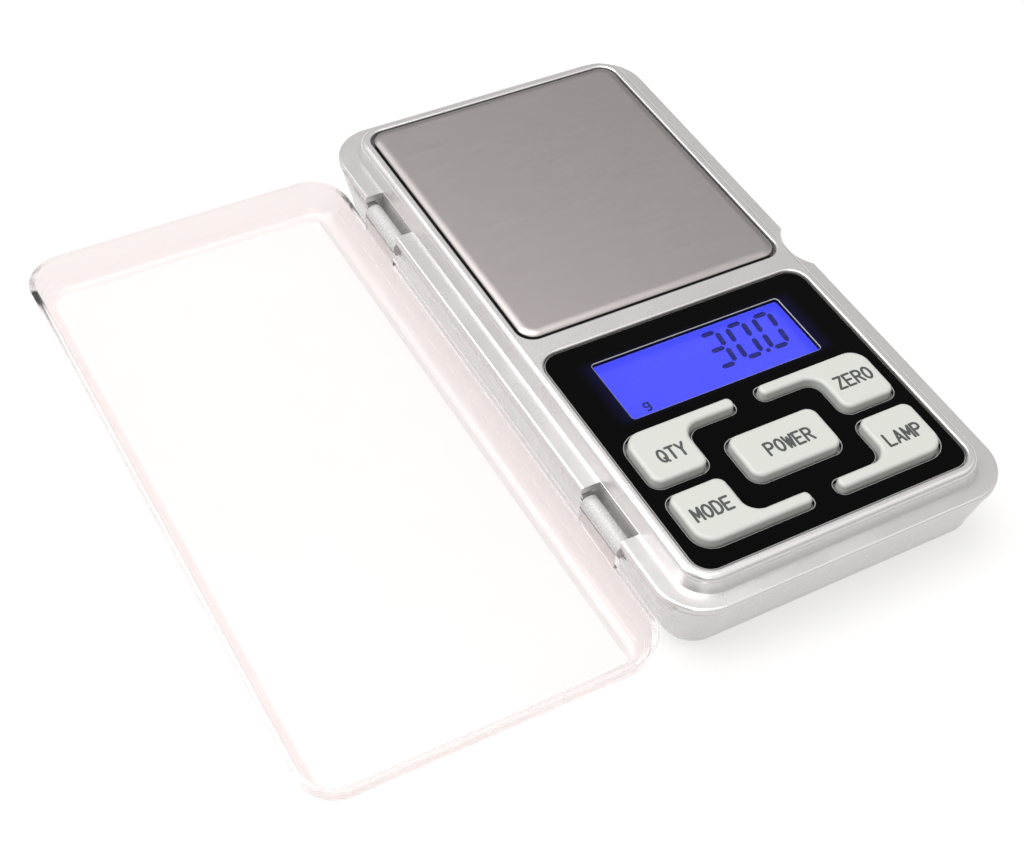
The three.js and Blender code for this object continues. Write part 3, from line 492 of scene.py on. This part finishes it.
MATERIALS = {
    "silver_paint": silver_paint(),
    "black_panel": black_panel(),
    "clear_plastic": clear_plastic(),
    "clear_window": clear_window(),
    "lit_display": lit_display(),
    "light_guide": moulded("light_guide", (0.75, 0.8, 1.0), 0.5),
    "dark_rubber": moulded("dark_rubber", (0.028, 0.028, 0.03), 0.8, bump=0.02),
    "circuit_board": circuit_board(),
    "black_epoxy": moulded("black_epoxy", (0.012, 0.012, 0.012), 0.3),
    "key_plastic": moulded(
        "key_plastic", (0.365, 0.372, 0.345), 0.42, grain_mm=0.12, spread=0.012, bump=0.004,
    ),
    "brushed_steel": brushed_steel(),
    # On the tray carrier, the black seen under the tray's rolled edge stands in for the shade in the gap round the
    # tray: painted shade.
    "black_plastic": moulded("black_plastic", (0.008, 0.008, 0.008), 0.6),
    "aluminium": metal("aluminium", (0.62, 0.63, 0.65), 0.35, 0.1, (1, 40, 1)),
    "gauge_foil": moulded("gauge_foil", (0.58, 0.28, 0.05), 0.4),
    "cell_jacket": cell_jacket(),
    "plated_steel": metal("plated_steel", (0.72, 0.72, 0.73), 0.2, 0.2),
    "red_insulation": moulded("red_insulation", (0.45, 0.02, 0.015), 0.5),
    "black_insulation": moulded("black_insulation", (0.012, 0.012, 0.012), 0.5),
    "green_insulation": moulded("green_insulation", (0.03, 0.2, 0.05), 0.5),
    "white_insulation": moulded("white_insulation", (0.78, 0.78, 0.76), 0.5),
}
MILKY_CLEAR = moulded(
    "milky_clear", (0.45, 0.44, 0.435), 0.25, spread=0.005, bump=0.0005, Transmission_Weight=0.3, IOR=1.45,
)
LEGEND_INK = moulded("legend_ink", (0.03, 0.032, 0.03), 0.5, spread=0.15)
# Light grey on the panel's bevelled edges: a painted highlight where those edges catch the light.
PANEL_PAINTED_HIGHLIGHT = moulded("panel_painted_highlight", (0.22, 0.225, 0.215), 0.25, spread=0.03)
SEGMENT_INK = moulded(
    "segment_ink", (0.004, 0.004, 0.03), 0.4, spread=0.15, Specular_IOR_Level=0.05,
    Emission_Color=(0.009, 0.011, 0.15, 1), Emission_Strength=1.0,
)


# ---- pieces ----------------------------------------------------------------------------------


def finish_mesh(piece):
    """Smooth shading that keeps real corners sharp and flat faces flat."""
    piece.data.shade_smooth()
    piece.data.set_sharp_from_angle(angle=SMOOTH_BELOW)
    weighted = piece.modifiers.new("even_normals", "WEIGHTED_NORMAL")
    weighted.keep_sharp = True
    weighted.weight = 100


def add_piece(name, mesh, body, look):
    piece = bpy.data.objects.new(name, mesh)
    bpy.context.scene.collection.objects.link(piece)
    mesh.materials.clear()
    mesh.materials.append(look)
    finish_mesh(piece)
    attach(piece, body)
    return piece


def replace_node(node, mesh):
    """The mesh, as the finely made piece that stands for a CAD node."""
    slot = SLOT_OF[node]
    piece = add_piece(f"{node}_fine", mesh, BODY_OF[node], MATERIALS[slot])
    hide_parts(node)
    return piece


def paint_faces(piece, look, chosen):
    """The look, on the faces that a test chooses."""
    piece.data.materials.append(look)
    for face in piece.data.polygons:
        if chosen(face):
            face.material_index = 1


BODY_OUTLINE = (BODY_X0, BODY_X1, BODY_Y0, BODY_Y1, BODY_CORNER)


def pocket_tool(side):
    """The pocket that a hinge lug turns in."""
    low, high = sorted([side * (LUG["y0"] - LUG["clear"]), side * (LUG["y1"] + LUG["clear"])])
    inner_x = -RIM["x"] - POCKET["rim_gap"]
    return box("pocket", BODY_X0 - PAST, inner_x, low, high, HINGE_Z - POCKET["below_axis"], RIM_Z)


def notch_tool():
    """The finger notch in the middle of the free side, with its upper edge eased."""
    radius, ease = NOTCH["radius"], NOTCH["ease"]
    x = BODY_X1 - NOTCH["depth"] + radius
    profile = [(NOTCH["z"], radius), (LEDGE_Z - ease, radius)]
    profile += [(LEDGE_Z, radius + ease), (RIM_Z, radius + ease)]
    return lathe("notch", profile, (x, 0, 0), "Z", 96)


def opening_tool(rectangle, floor, mouth, flare):
    """A cutter with upright walls that flares into a round at the mouth."""
    levels = [(floor, 0), (mouth - flare, 0)]
    for i in range(1, EDGE_STEPS + 1):
        angle = QUARTER * i / EDGE_STEPS
        levels.append((mouth - flare + flare * math.sin(angle), -flare * (1 - math.cos(angle))))
    levels.append((mouth + PAST, -flare))
    return stack("opening", rectangle, levels)


def top_housing():
    outside = stack("top_housing", BODY_OUTLINE, [
        (PARTING_Z, EASE), (PARTING_Z + EASE, 0),
        *edge_round(LEDGE_Z - LEDGE_ROUND, LEDGE_Z, 0, LEDGE_ROUND),
    ])
    rim_outline = (-RIM["x"], RIM["x"], -RIM["y"], RIM["y"], RIM["corner"])
    rim = stack("rim", rim_outline, [
        (LEDGE_Z - RIM_ROOT, 0), (LEDGE_Z, 0),
        *edge_round(RIM_Z - RIM["round_height"], RIM_Z, RIM["lean"], RIM["round"], ROUND_STEPS),
    ])
    lip_low = LIP["low"] - PAST
    lip = stack("lip", BODY_OUTLINE, [(LIP["low"], LIP["outer"]), (PARTING_Z + LIP["root"], LIP["outer"])])
    lip = cut(lip, [
        stack("lip_inside", BODY_OUTLINE, [(lip_low, LIP["inner"]), (LEDGE_Z, LIP["inner"])]),
        *[box("lip_gap", *gap, lip_low, PARTING_Z) for gap in LIP_GAPS],
    ])
    tray_post_top, key_post_top = LEDGE_Z - POST["under_ledge"], DECK[0] + POST["in_deck"]
    posts = [
        cylinder("post", x, y, POST["low"], tray_post_top if y > 0 else key_post_top, POST["radius"])
        for x, y in HOUSING_SCREWS
    ]
    hollow = plate("hollow", rounded_rect(*UNDER_HOLLOW), PARTING_Z - PAST, DECK[0])
    shell = cut(join(outside, [rim]), [hollow])
    key_low = DECK[0] - PAST / 2
    whole = cut(join(shell, [lip, *posts]), [
        opening_tool(WELL, LEDGE_Z, RIM_Z, MOUTH_ROUND),
        opening_tool(PANEL_RECESS, DECK[1], RIM_Z, MOUTH_ROUND),
        plate("display", rounded_rect(*DISPLAY_OPENING), DECK[0] - PAST, DECK[1] + PAST),
        plate("carrier", rounded_rect(*CARRIER_OPENING), PARTING_Z - PAST, LEDGE_Z + PAST),
        *[plate("key", key_outline(name, KEY_CLEAR), key_low, DECK[1] + PAST) for name in KEY_NAMES],
        *[cylinder("screw", x, y, POST["bore_low"], PARTING_Z, POST["bore"]) for x, y in HOUSING_SCREWS],
        pocket_tool(1),
        pocket_tool(-1),
        notch_tool(),
    ])
    replace_node("top_housing", whole)


def tub_levels(skin, underside, top):
    """Levels of the bottom housing's outer face, or of a face a skin's thickness inside it."""
    low = edge_round(BOTTOM_Z + BOTTOM_ROUND, underside, SIDE_INSET[1] + skin, BOTTOM_ROUND, ROUND_STEPS)
    return [*low[::-1], (top - 0.2, SIDE_INSET[0] + skin + 0.005), (top, SIDE_INSET[0] + skin)]


def foot_outline(node, grow):
    x0, x1, y0, y1, _, _ = box_mm(node)
    radius = (x1 - x0) / 2 + grow - FOOT["trim"]
    return rounded_rect(x0 - grow, x1 + grow, y0 - grow, y1 + grow, radius, 0, FOOT["steps"])


def middle(node):
    """The middle of a CAD node's box, across and along the body."""
    x0, x1, y0, y1, _, _ = box_mm(node)
    return (x0 + x1) / 2, (y0 + y1) / 2


def nodes_named(start):
    return [node for node in SLOT_OF if node.startswith(start)]


def bottom_housing():
    shell = cut(stack("bottom_housing", BODY_OUTLINE, tub_levels(0, BOTTOM_Z, BOTTOM_TOP)), [
        stack("inside", BODY_OUTLINE, tub_levels(WALL, BOTTOM_Z + FLOOR, BOTTOM_TOP + PAST)),
    ])
    core = boolean(
        stack("core", BODY_OUTLINE, tub_levels(CORE_SKIN, BOTTOM_Z + CORE_SKIN, BOTTOM_TOP + PAST)),
        [welded(frame["nodes"]["bottom_housing"].data)], "INTERSECT",
    )
    x0, x1, _, y1, _, z1 = box_mm("battery_door")
    x0, x1, y1 = x0 - DOOR_GAP, x1 + DOOR_GAP, y1 + DOOR_GAP
    cells_y0 = box_mm("contact_positive")[2] - CELLS_MARGIN
    bore_y0, bore_y1 = LUG["y0"] - POCKET["bore_reach"], LUG["y1"] + POCKET["bore_reach"]
    load_cell_screws = [middle(node) for node in nodes_named("load_cell_screw")]
    stop_low, stop_high, stop_radius = STOP_HOLE
    whole = cut(join(shell, [core]), [
        box("door", x0, x1, BODY_Y0 - PAST, y1, -PAST, z1 + DOOR_GAP),
        box("cells", x0, x1, cells_y0, y1, -PAST, BOTTOM_Z + FLOOR + PAST),
        pocket_tool(1),
        pocket_tool(-1),
        cylinder("bore", HINGE_X, HINGE_Z, bore_y0, bore_y1, LUG["bore"], "Y"),
        cylinder("bore", HINGE_X, HINGE_Z, -bore_y1, -bore_y0, LUG["bore"], "Y"),
        notch_tool(),
        *[cylinder("screw", *at, -PAST, top, r) for top, r in HOUSING_HOLE for at in HOUSING_SCREWS],
        *[cylinder("screw", *at, -PAST, top, r) for top, r in LOAD_CELL_HOLE for at in load_cell_screws],
        cylinder("stop", *middle("overload_stop_screw"), stop_low, stop_high, stop_radius),
        *[
            plate("foot", foot_outline(node, FOOT["clear"]), -PAST, BOTTOM_Z + FOOT["recess"])
            for node in nodes_named("foot_")
        ],
    ])
    replace_node("bottom_housing", whole)


def battery_door():
    x0, x1, _, y1, _, z1 = box_mm("battery_door")
    outer = stack("battery_door", BODY_OUTLINE, tub_levels(0, BOTTOM_Z, BOTTOM_TOP))
    kept = boolean(outer, [box("keep", x0, x1, BODY_Y0 - PAST, y1, 0, z1)], "INTERSECT")
    half, z = GROOVES["x"], BOTTOM_Z - GROOVES["below"]
    grooves = [cylinder("groove", y, z, -half, half, GROOVES["radius"], "X", 24) for y in GROOVES["y"]]
    replace_node("battery_door", cut(kept, grooves))


def feet():
    for node in nodes_named("foot_"):
        z0, z1 = box_mm(node)[4:]
        levels = [(z0, -EASE), (z0 + 0.06, -0.04), (z0 + EASE, 0), (z1, 0)]
        replace_node(node, loft(node, [ring(foot_outline(node, grow), z) for z, grow in levels]))


def keys():
    flange_top = KEY_UNDER + KEY_FLANGE["thick"]
    for name in KEY_NAMES:
        levels = [(KEY_UNDER, KEY_FLANGE["grow"]), (flange_top, KEY_FLANGE["grow"]), (flange_top, 0)]
        rounding = edge_round(KEY_TOP - KEY_ROUND, KEY_TOP, KEY_DRAFT, KEY_ROUND)
        levels += [(z, -inset) for z, inset in rounding]
        replace_node(name, loft(name, [ring(key_outline(name, grow), z) for z, grow in levels]))


def front_panel():
    x0, x1, y0, y1, z0, z1 = box_mm("front_panel")
    outline = (x0, x1, y0, y1, PANEL_RECESS[-1] - PANEL_GAP)
    sheet = stack("front_panel", outline, [(z0, 0), *edge_round(z1 - PANEL_EDGE, z1, 0, PANEL_EDGE, 4)])
    tools = []
    edge = PANEL_CUT_EDGE
    for name in KEY_NAMES:
        levels = [(z0 - PAST, 0), (z1 - edge, 0), (z1 - 0.3 * edge, 0.3 * edge)]
        levels += [(z1, edge), (z1 + PAST, edge)]
        tools.append(loft("hole", [ring(key_outline(name, KEY_CLEAR + grow), z) for z, grow in levels]))
    tools.append(opening_tool(WINDOW, z0 - PAST, z1, edge))
    piece = replace_node("front_panel", cut(sheet, tools))
    # The bevel faces round the panel and its openings take the light grey: painted highlight.
    paint_faces(piece, PANEL_PAINTED_HIGHLIGHT, lambda face: SLOPING[0] < face.normal.z < SLOPING[1])


def weighing_tray():
    x0, x1, y0, y1, z0, z1 = box_mm("weighing_tray")
    rolled = edge_round(z0, z1, 0, TRAY["roll"], TRAY["steps"])
    replace_node("weighing_tray", stack("weighing_tray", (x0, x1, y0, y1, TRAY["corner"]), rolled))


def lid():
    """The lid, drawn closed and then turned open about the hinge."""
    open_x0, _, y0, y1, _, _ = LID_OPEN
    outline = (LID_LINK["x0"], 2 * HINGE_X - open_x0, y0, y1, LID["corner"])
    rim, top, wall = LEDGE_Z + LID["ledge_gap"], LID["top"], LID["wall"]
    start = top - LID["round"]
    outer = stack("lid", outline, [
        (rim, EASE), (rim + EASE, 0), *edge_round(start, top, LID["lean"], LID["round"], 14),
    ])
    inner = stack("inside", outline, [
        (rim - 0.1, wall - 0.12), (rim + EASE, wall),
        *edge_round(start, top - wall, LID["lean"] + wall, LID["round"] - wall, ROUND_STEPS),
    ])
    shell = cut(outer, [inner])
    lugs = []
    bores = []
    for side in (-1, 1):
        low, high = sorted([side * LUG["y0"], side * LUG["y1"]])
        lugs.append(cylinder("lug", HINGE_X, HINGE_Z, low, high, LUG["radius"], "Y"))
        link_x = LID_LINK["x0"], LID_LINK["x1"]
        lugs.append(box("link", *link_x, low, high, HINGE_Z, rim + LID_LINK["above_rim"]))
        bores.append(cylinder("bore", HINGE_X, HINGE_Z, low - PAST, high + PAST, LUG["bore"], "Y", 32))
    mesh = cut(join(shell, lugs), bores)
    hinge = Matrix.Translation(Vector((HINGE_X, 0, HINGE_Z)) * MM)
    mesh.transform(hinge @ Matrix.Rotation(math.pi, 4, "Y") @ hinge.inverted())
    piece = replace_node("lid", mesh)
    piece.visible_shadow = False
    slack = 0.1

    def on_lug(face):
        x, y, z = [c / MM for c in face.center]
        near_axis = math.hypot(x - HINGE_X, z - HINGE_Z) < LUG["radius"] + slack
        return near_axis and LUG["y0"] - slack < abs(y) < LUG["y1"] + slack

    paint_faces(piece, MILKY_CLEAR, on_lug)


def hinge_pins():
    for node in ("hinge_pin_near", "hinge_pin_far"):
        _, _, y0, y1, z0, z1 = box_mm(node)
        radius, ease = (z1 - z0) / 2, PIN_EASE
        profile = [(y0, radius - ease), (y0 + ease, radius), (y1 - ease, radius), (y1, radius - ease)]
        replace_node(node, lathe(node, profile, (HINGE_X, 0, HINGE_Z), "Y", 32))


LEGENDS = {
    "key_power": ("POWER", 0.5, -40.0),
    "key_count": ("QTY", -17.0, -34.0),
    "key_tare": ("ZERO", 17.6, -33.3),
    "key_units": ("MODE", -17.6, -46.1),
    "key_light": ("LAMP", 17.4, -46.6),
}
LETTER = {"width": 1.22, "height": 2.4, "pitch": 1.74, "stroke": 0.44, "thick": 0.02}
LEGEND_GAP = 0.002  # between a key's top and the ink

# The strokes of each letter, in its own width and height.
BOWL = [(0.0, 0.5), (0.65, 0.5), (0.93, 0.6), (1.0, 0.75), (0.93, 0.9), (0.65, 1.0), (0.0, 1.0)]
LOOP = [(0.5 + 0.5 * math.cos(t * math.pi / 6), 0.5 + 0.5 * math.sin(t * math.pi / 6)) for t in range(13)]
STROKES = {
    "A": [[(0, 0), (0.5, 1), (1, 0)], [(0.2, 0.33), (0.8, 0.33)]],
    "D": [[(0, 0), (0, 1), (0.55, 1), (0.9, 0.82), (1, 0.5), (0.9, 0.18), (0.55, 0), (0, 0)]],
    "E": [[(0.95, 1), (0, 1), (0, 0), (0.95, 0)], [(0, 0.5), (0.8, 0.5)]],
    "L": [[(0, 1), (0, 0), (0.95, 0)]],
    "M": [[(0, 0), (0, 1), (0.5, 0.3), (1, 1), (1, 0)]],
    "O": [LOOP],
    "P": [[(0, 0), (0, 1)], BOWL],
    "Q": [LOOP, [(0.6, 0.3), (1, -0.05)]],
    "R": [[(0, 0), (0, 1)], BOWL, [(0.5, 0.5), (1, 0)]],
    "T": [[(0, 1), (1, 1)], [(0.5, 1), (0.5, 0)]],
    "W": [[(-0.05, 1), (0.25, 0), (0.5, 0.85), (0.75, 0), (1.05, 1)]],
    "Y": [[(0, 1), (0.5, 0.48), (1, 1)], [(0.5, 0.48), (0.5, 0)]],
    "Z": [[(0.05, 1), (1, 1), (0, 0), (1, 0)]],
    "g": [[(u, 0.4 + 0.6 * v) for u, v in LOOP], [(1, 1), (1, 0.1), (0.7, -0.1), (0.2, -0.05)]],
}


def bar_outline(start, end, width):
    """A bar with round ends."""
    angle = math.atan2(end[1] - start[1], end[0] - start[0]) / QUARTER
    return arc(*end, width / 2, angle - 1, angle + 1, 6) + arc(*start, width / 2, angle + 1, angle + 3, 6)


def word(name, text, x, y, z, look, body, slot, letter=LETTER):
    """A word printed as flat strokes, centred on x, y."""
    left = x - (len(text) - 1) * letter["pitch"] / 2 - letter["width"] / 2
    bars = []
    for i, character in enumerate(text):
        for stroke in STROKES[character]:
            points = [
                (left + i * letter["pitch"] + u * letter["width"], y + (v - 0.5) * letter["height"])
                for u, v in stroke
            ]
            bars += [bar_outline(a, b, letter["stroke"]) for a, b in zip(points, points[1:])]
    plates = [plate("bar", bar, z, z + letter["thick"]) for bar in bars]
    return add_piece(name, join(plates[0], plates[1:]), body, look)


def legends():
    for node, (text, x, y) in LEGENDS.items():
        word(f"{node}_legend", text, x, y, KEY_TOP + LEGEND_GAP, LEGEND_INK, node, "key_plastic")


# Each segment's two ends, in the digit's width and height, lettered as displays letter them.
SEGMENT_ENDS = {
    "a": ((0, 1), (1, 1)), "b": ((1, 1), (1, 0.5)), "c": ((1, 0.5), (1, 0)), "d": ((0, 0), (1, 0)),
    "e": ((0, 0.5), (0, 0)), "f": ((0, 1), (0, 0.5)), "g": ((0, 0.5), (1, 0.5)),
}
DIGIT_SEGMENTS = {"0": "abcdef", "3": "abcdg"}
DIGIT = {"width": 3.1, "height": 7.4, "stroke": 0.95, "slant": 0.1, "gap": 0.25, "base": -20}
DIGITS_SHOWN = [("3", 1.6), ("0", 6.7), ("0", 11.9)]  # each with the x of its left side
DECIMAL_POINT = (10.5, 11.3, -20.4, -19.6, 0.3)
SEGMENT_Z = (0.004, 0.03)  # low and high, above the glass
UNIT_LETTER = {"width": 0.95, "height": 1.5, "pitch": 1, "stroke": 0.34, "thick": 0.03}
UNIT_AT = (-13.6, -22)


def segment_outline(start, end, stroke, gap):
    """A bar with pointed ends between two points, short of each by the gap."""
    a, b = Vector(start), Vector(end)
    along = (b - a).normalized()
    across = Vector((-along.y, along.x)) * stroke / 2
    a += along * gap
    b -= along * gap
    tip = along * stroke * 0.45
    return [a, a + tip - across, b - tip - across, b, b - tip + across, a + tip + across]


def prisms(name, outlines, z0, z1):
    """One mesh of flat bars that stay separate."""
    vertices, faces = [], []
    for outline in outlines:
        low, count = len(vertices), len(outline)
        vertices += ring(outline, z0) + ring(outline, z1)
        faces.append([low + i for i in range(count)][::-1])
        faces.append([low + count + i for i in range(count)])
        for i in range(count):
            j = (i + 1) % count
            faces.append([low + i, low + j, low + count + j, low + count + i])
    return mesh_of(name, vertices, faces)


def display_digits():
    glass_z = box_mm("display_glass")[5]
    low, high = glass_z + SEGMENT_Z[0], glass_z + SEGMENT_Z[1]
    outlines = []
    for digit, x in DIGITS_SHOWN:
        for letter in DIGIT_SEGMENTS[digit]:
            ends = [
                (x + u * DIGIT["width"], DIGIT["base"] + v * DIGIT["height"]) for u, v in SEGMENT_ENDS[letter]
            ]
            outlines.append(segment_outline(*ends, DIGIT["stroke"], DIGIT["gap"]))
    outlines.append(rounded_rect(*DECIMAL_POINT, 0, 4))
    slanted = [[(x + DIGIT["slant"] * (y - DIGIT["base"]), y) for x, y in outline] for outline in outlines]
    mesh = prisms("display_digits", slanted, low, high)
    add_piece("display_digits", mesh, "root", SEGMENT_INK)
    word("display_unit", "g", *UNIT_AT, low, SEGMENT_INK, "root", "lit_display", UNIT_LETTER)


# The height of each kind's head and the radius of its shank.
SCREWS = {
    "housing_screw": {"head": 1.3, "shank": 1},
    "load_cell_screw": {"head": 1.2, "shank": 1.5},
    "carrier_screw": {"head": 0.8, "shank": 1.5},
}
HEAD_PROFILE = [(0, 0.7), (0.12, 0.86), (0.3, 0.96), (0.55, 1), (1, 1)]  # parts of its height and radius
RECESS = {"reach": 0.55, "half": 0.25, "depth": 0.45}  # a cross recess; reach and depth are parts too


def screws():
    """Pan-head screws with cross recesses, the housing's and load cell's from below."""
    for node in [n for n in SLOT_OF if "_screw_" in n]:
        x0, x1, _, _, z0, z1 = box_mm(node)
        x, y = middle(node)
        head_radius, length = (x1 - x0) / 2, z1 - z0
        head, shank = SCREWS[node[:-2]]["head"], SCREWS[node[:-2]]["shank"]
        profile = [(head * along, head_radius * radius) for along, radius in HEAD_PROFILE]
        profile += [(head, shank), (length - 0.5, shank), (length, shank * 0.5)]
        reach, half, depth = head_radius * RECESS["reach"], RECESS["half"], head * RECESS["depth"]
        low, high = z0 - PAST, z0 + depth
        if node.startswith("carrier"):  # these have their heads on top
            profile = [(length - along, radius) for along, radius in profile][::-1]
            low, high = z1 - depth, z1 + PAST
        replace_node(node, cut(lathe(node, profile, (x, y, z0), "Z", 40), [
            box("slot", x - reach, x + reach, y - half, y + half, low, high),
            box("slot", x - half, x + half, y - reach, y + reach, low, high),
        ]))


NUB_RADIUS = 1.9


def battery_cells():
    """AAA cells: a foil jacket with rolled ends and a nub on the positive one."""
    for node in ("battery_cell_1", "battery_cell_2"):
        x0, x1, y0, y1, z0, z1 = box_mm(node)
        radius, length, nub = (z1 - z0) / 2, x1 - x0, NUB_RADIUS
        profile = [(0, radius - 1.4), (0.25, radius - 0.5), (0.15, radius - 0.2), (0.5, radius)]
        profile += [(length - 1.4, radius), (length - 1.0, radius - 0.25), (length - 1.05, radius - 0.7)]
        profile += [(length - 0.9, nub + 0.3), (length - 0.8, nub), (length - 0.15, nub), (length, nub - 0.2)]
        if node.endswith("2"):
            profile = [(length - along, r) for along, r in profile][::-1]
        replace_node(node, lathe(node, profile, (x0, (y0 + y1) / 2, (z0 + z1) / 2), "X", 64))


SPRING = {"wire": 0.25, "turns": 2.5, "steps": 90, "tip_radius": 1.5}


def battery_springs():
    """Conical springs, widening from the cell to the contact behind it."""
    for node, toward in (("battery_spring_1", -1), ("battery_spring_2", 1)):
        x0, x1, y0, y1, z0, z1 = box_mm(node)
        wire, steps, tip = SPRING["wire"], SPRING["steps"], SPRING["tip_radius"]
        start = x1 - wire if toward < 0 else x0 + wire
        length, outer = x1 - x0 - 2 * wire, (z1 - z0) / 2 - wire
        curve = bpy.data.curves.new(node, "CURVE")
        curve.dimensions = "3D"
        curve.bevel_depth = wire * MM
        curve.bevel_resolution = 3
        curve.use_fill_caps = True
        line = curve.splines.new("POLY")
        line.points.add(steps)
        for i in range(steps + 1):
            t = i / steps
            angle = t * SPRING["turns"] * 2 * math.pi
            radius = tip + (outer - tip) * t
            x = start + toward * t * length
            y = (y0 + y1) / 2 + radius * math.cos(angle)
            z = (z0 + z1) / 2 + radius * math.sin(angle)
            line.points[i].co = (x * MM, y * MM, z * MM, 1)
        maker = bpy.data.objects.new(node, curve)
        bpy.context.scene.collection.objects.link(maker)
        bpy.context.view_layer.update()
        evaluated = maker.evaluated_get(bpy.context.evaluated_depsgraph_get())
        mesh = bpy.data.meshes.new_from_object(evaluated)
        bpy.data.objects.remove(maker)
        replace_node(node, mesh)


def dress_cad_nodes():
    """Materials and even shading for the CAD nodes that stay."""
    for node, obj in frame["nodes"].items():
        obj.data.materials.clear()
        obj.data.materials.append(MATERIALS[SLOT_OF[node]])
        if not obj.hide_render:
            finish_mesh(obj)


top_housing()
bottom_housing()
battery_door()
feet()
front_panel()
keys()
legends()
display_digits()
weighing_tray()
lid()
hinge_pins()
screws()
battery_cells()
battery_springs()
dress_cad_nodes()


# ---- floor, light and camera -----------------------------------------------------------------

FLOOR_HALF = 3000  # in millimetres
LAMP_WHITE = (1, 0.995, 0.99, 1)
FLOOR_WHITE = (0.22, 0.219, 0.218)
FLOOR_GLOW = 0.63


def floor_paint():
    """A white light table: some of its light is its own, so shadows on it stay faint."""
    shader = Shader("floor_paint", FLOOR_WHITE, 0.8)
    shader.set("Emission Color", LAMP_WHITE)
    shader.set("Emission Strength", FLOOR_GLOW)
    shader.shade(shader.noise(90), scaled(FLOOR_WHITE, 0.997), scaled(FLOOR_WHITE, 1.003))
    shader.vary_roughness(shader.noise(8), 0.75, 0.85)
    return shader.material


def add_floor():
    half = FLOOR_HALF
    corners = [(-half, -half, 0), (half, -half, 0), (half, half, 0), (-half, half, 0)]
    mesh = mesh_of("floor", corners, [(0, 1, 2, 3)])
    mesh.materials.append(floor_paint())
    floor = bpy.data.objects.new("floor", mesh)
    bpy.context.scene.collection.objects.link(floor)


# The world's strength is the product of these. Each changes smoothly as a ray turns towards a direction:
# the direction, the cosine where the change starts and ends, and the strength at each.
SKY = [
    ((0, 0, 1), 0, 0.75, 0.4, 1.35),  # brighter above than near the horizon
    ((0.37, 0.57, 0.73), 0.6, 0.93, 1, 0.43),  # a soft grey patch that flat metal mirrors
    ((-0.8, -0.59, 0.15), 0.93, 0.99, 1, 0.05),  # a dark spot that the rim's near corner mirrors
]


def world_light():
    world = bpy.data.worlds.new("studio")
    bpy.context.scene.world = world
    world.use_nodes = True
    tree = world.node_tree
    place = tree.nodes.new("ShaderNodeTexCoord").outputs["Generated"]

    def toward(direction, *values):
        dot = tree.nodes.new("ShaderNodeVectorMath")
        dot.operation = "DOT_PRODUCT"
        dot.inputs[1].default_value = Vector(direction).normalized()
        ramp = tree.nodes.new("ShaderNodeMapRange")
        ramp.interpolation_type = "SMOOTHSTEP"
        for index, value in enumerate(values, 1):
            ramp.inputs[index].default_value = value
        tree.links.new(place, dot.inputs[0])
        tree.links.new(dot.outputs["Value"], ramp.inputs[0])
        return ramp.outputs[0]

    strength = toward(*SKY[0])
    for change in SKY[1:]:
        product = tree.nodes.new("ShaderNodeMath")
        product.operation = "MULTIPLY"
        tree.links.new(strength, product.inputs[0])
        tree.links.new(toward(*change), product.inputs[1])
        strength = product.outputs[0]
    background = tree.nodes["Background"]
    tree.links.new(strength, background.inputs["Strength"])
    background.inputs["Color"].default_value = LAMP_WHITE


# Each light's name, place and size in metres, and power in watts. All point at the origin.
LIGHTS = [
    ("overhead", (-0.15, 0.25, 1.1), 1.2, 14),
    ("front_strip", (-0.5, -0.9, 0.75), 0.35, 2),
    ("left_fill", (-1.3, 0.35, 0.75), 0.9, 7.5),
]


def area_light(name, place, size, power):
    data = bpy.data.lights.new(name, "AREA")
    data.shape = "DISK"
    data.size = size
    data.energy = power
    light = bpy.data.objects.new(name, data)
    bpy.context.scene.collection.objects.link(light)
    light.location = place
    light.rotation_euler = (-Vector(place)).to_track_quat("-Z", "Y").to_euler()


add_floor()
world_light()
for light_values in LIGHTS:
    area_light(*light_values)

# The target and distance are in millimetres, the angles in degrees.
CAMERA = {
    "target": (-27, -4.1, 0), "distance": 306.9, "azimuth": -32.6, "elevation": 47.2, "roll": 4.9,
    "lens": 65.2,
}


def add_camera():
    data = bpy.data.cameras.new("camera")
    data.lens = CAMERA["lens"]
    data.clip_start = 0.01
    data.clip_end = 20
    camera = bpy.data.objects.new("camera", data)
    bpy.context.scene.collection.objects.link(camera)
    azimuth, elevation = math.radians(CAMERA["azimuth"]), math.radians(CAMERA["elevation"])
    back = Vector((
        math.sin(azimuth) * math.cos(elevation),
        -math.cos(azimuth) * math.cos(elevation),
        math.sin(elevation),
    ))
    camera.location = (Vector(CAMERA["target"]) + back * CAMERA["distance"]) * MM
    turn = (-back).to_track_quat("-Z", "Y").to_matrix().to_4x4()
    roll = Matrix.Rotation(math.radians(CAMERA["roll"]), 4, "Z")
    camera.rotation_euler = (turn @ roll).to_euler()
    bpy.context.scene.camera = camera


add_camera()
bpy.context.scene.view_settings.view_transform = "Standard"
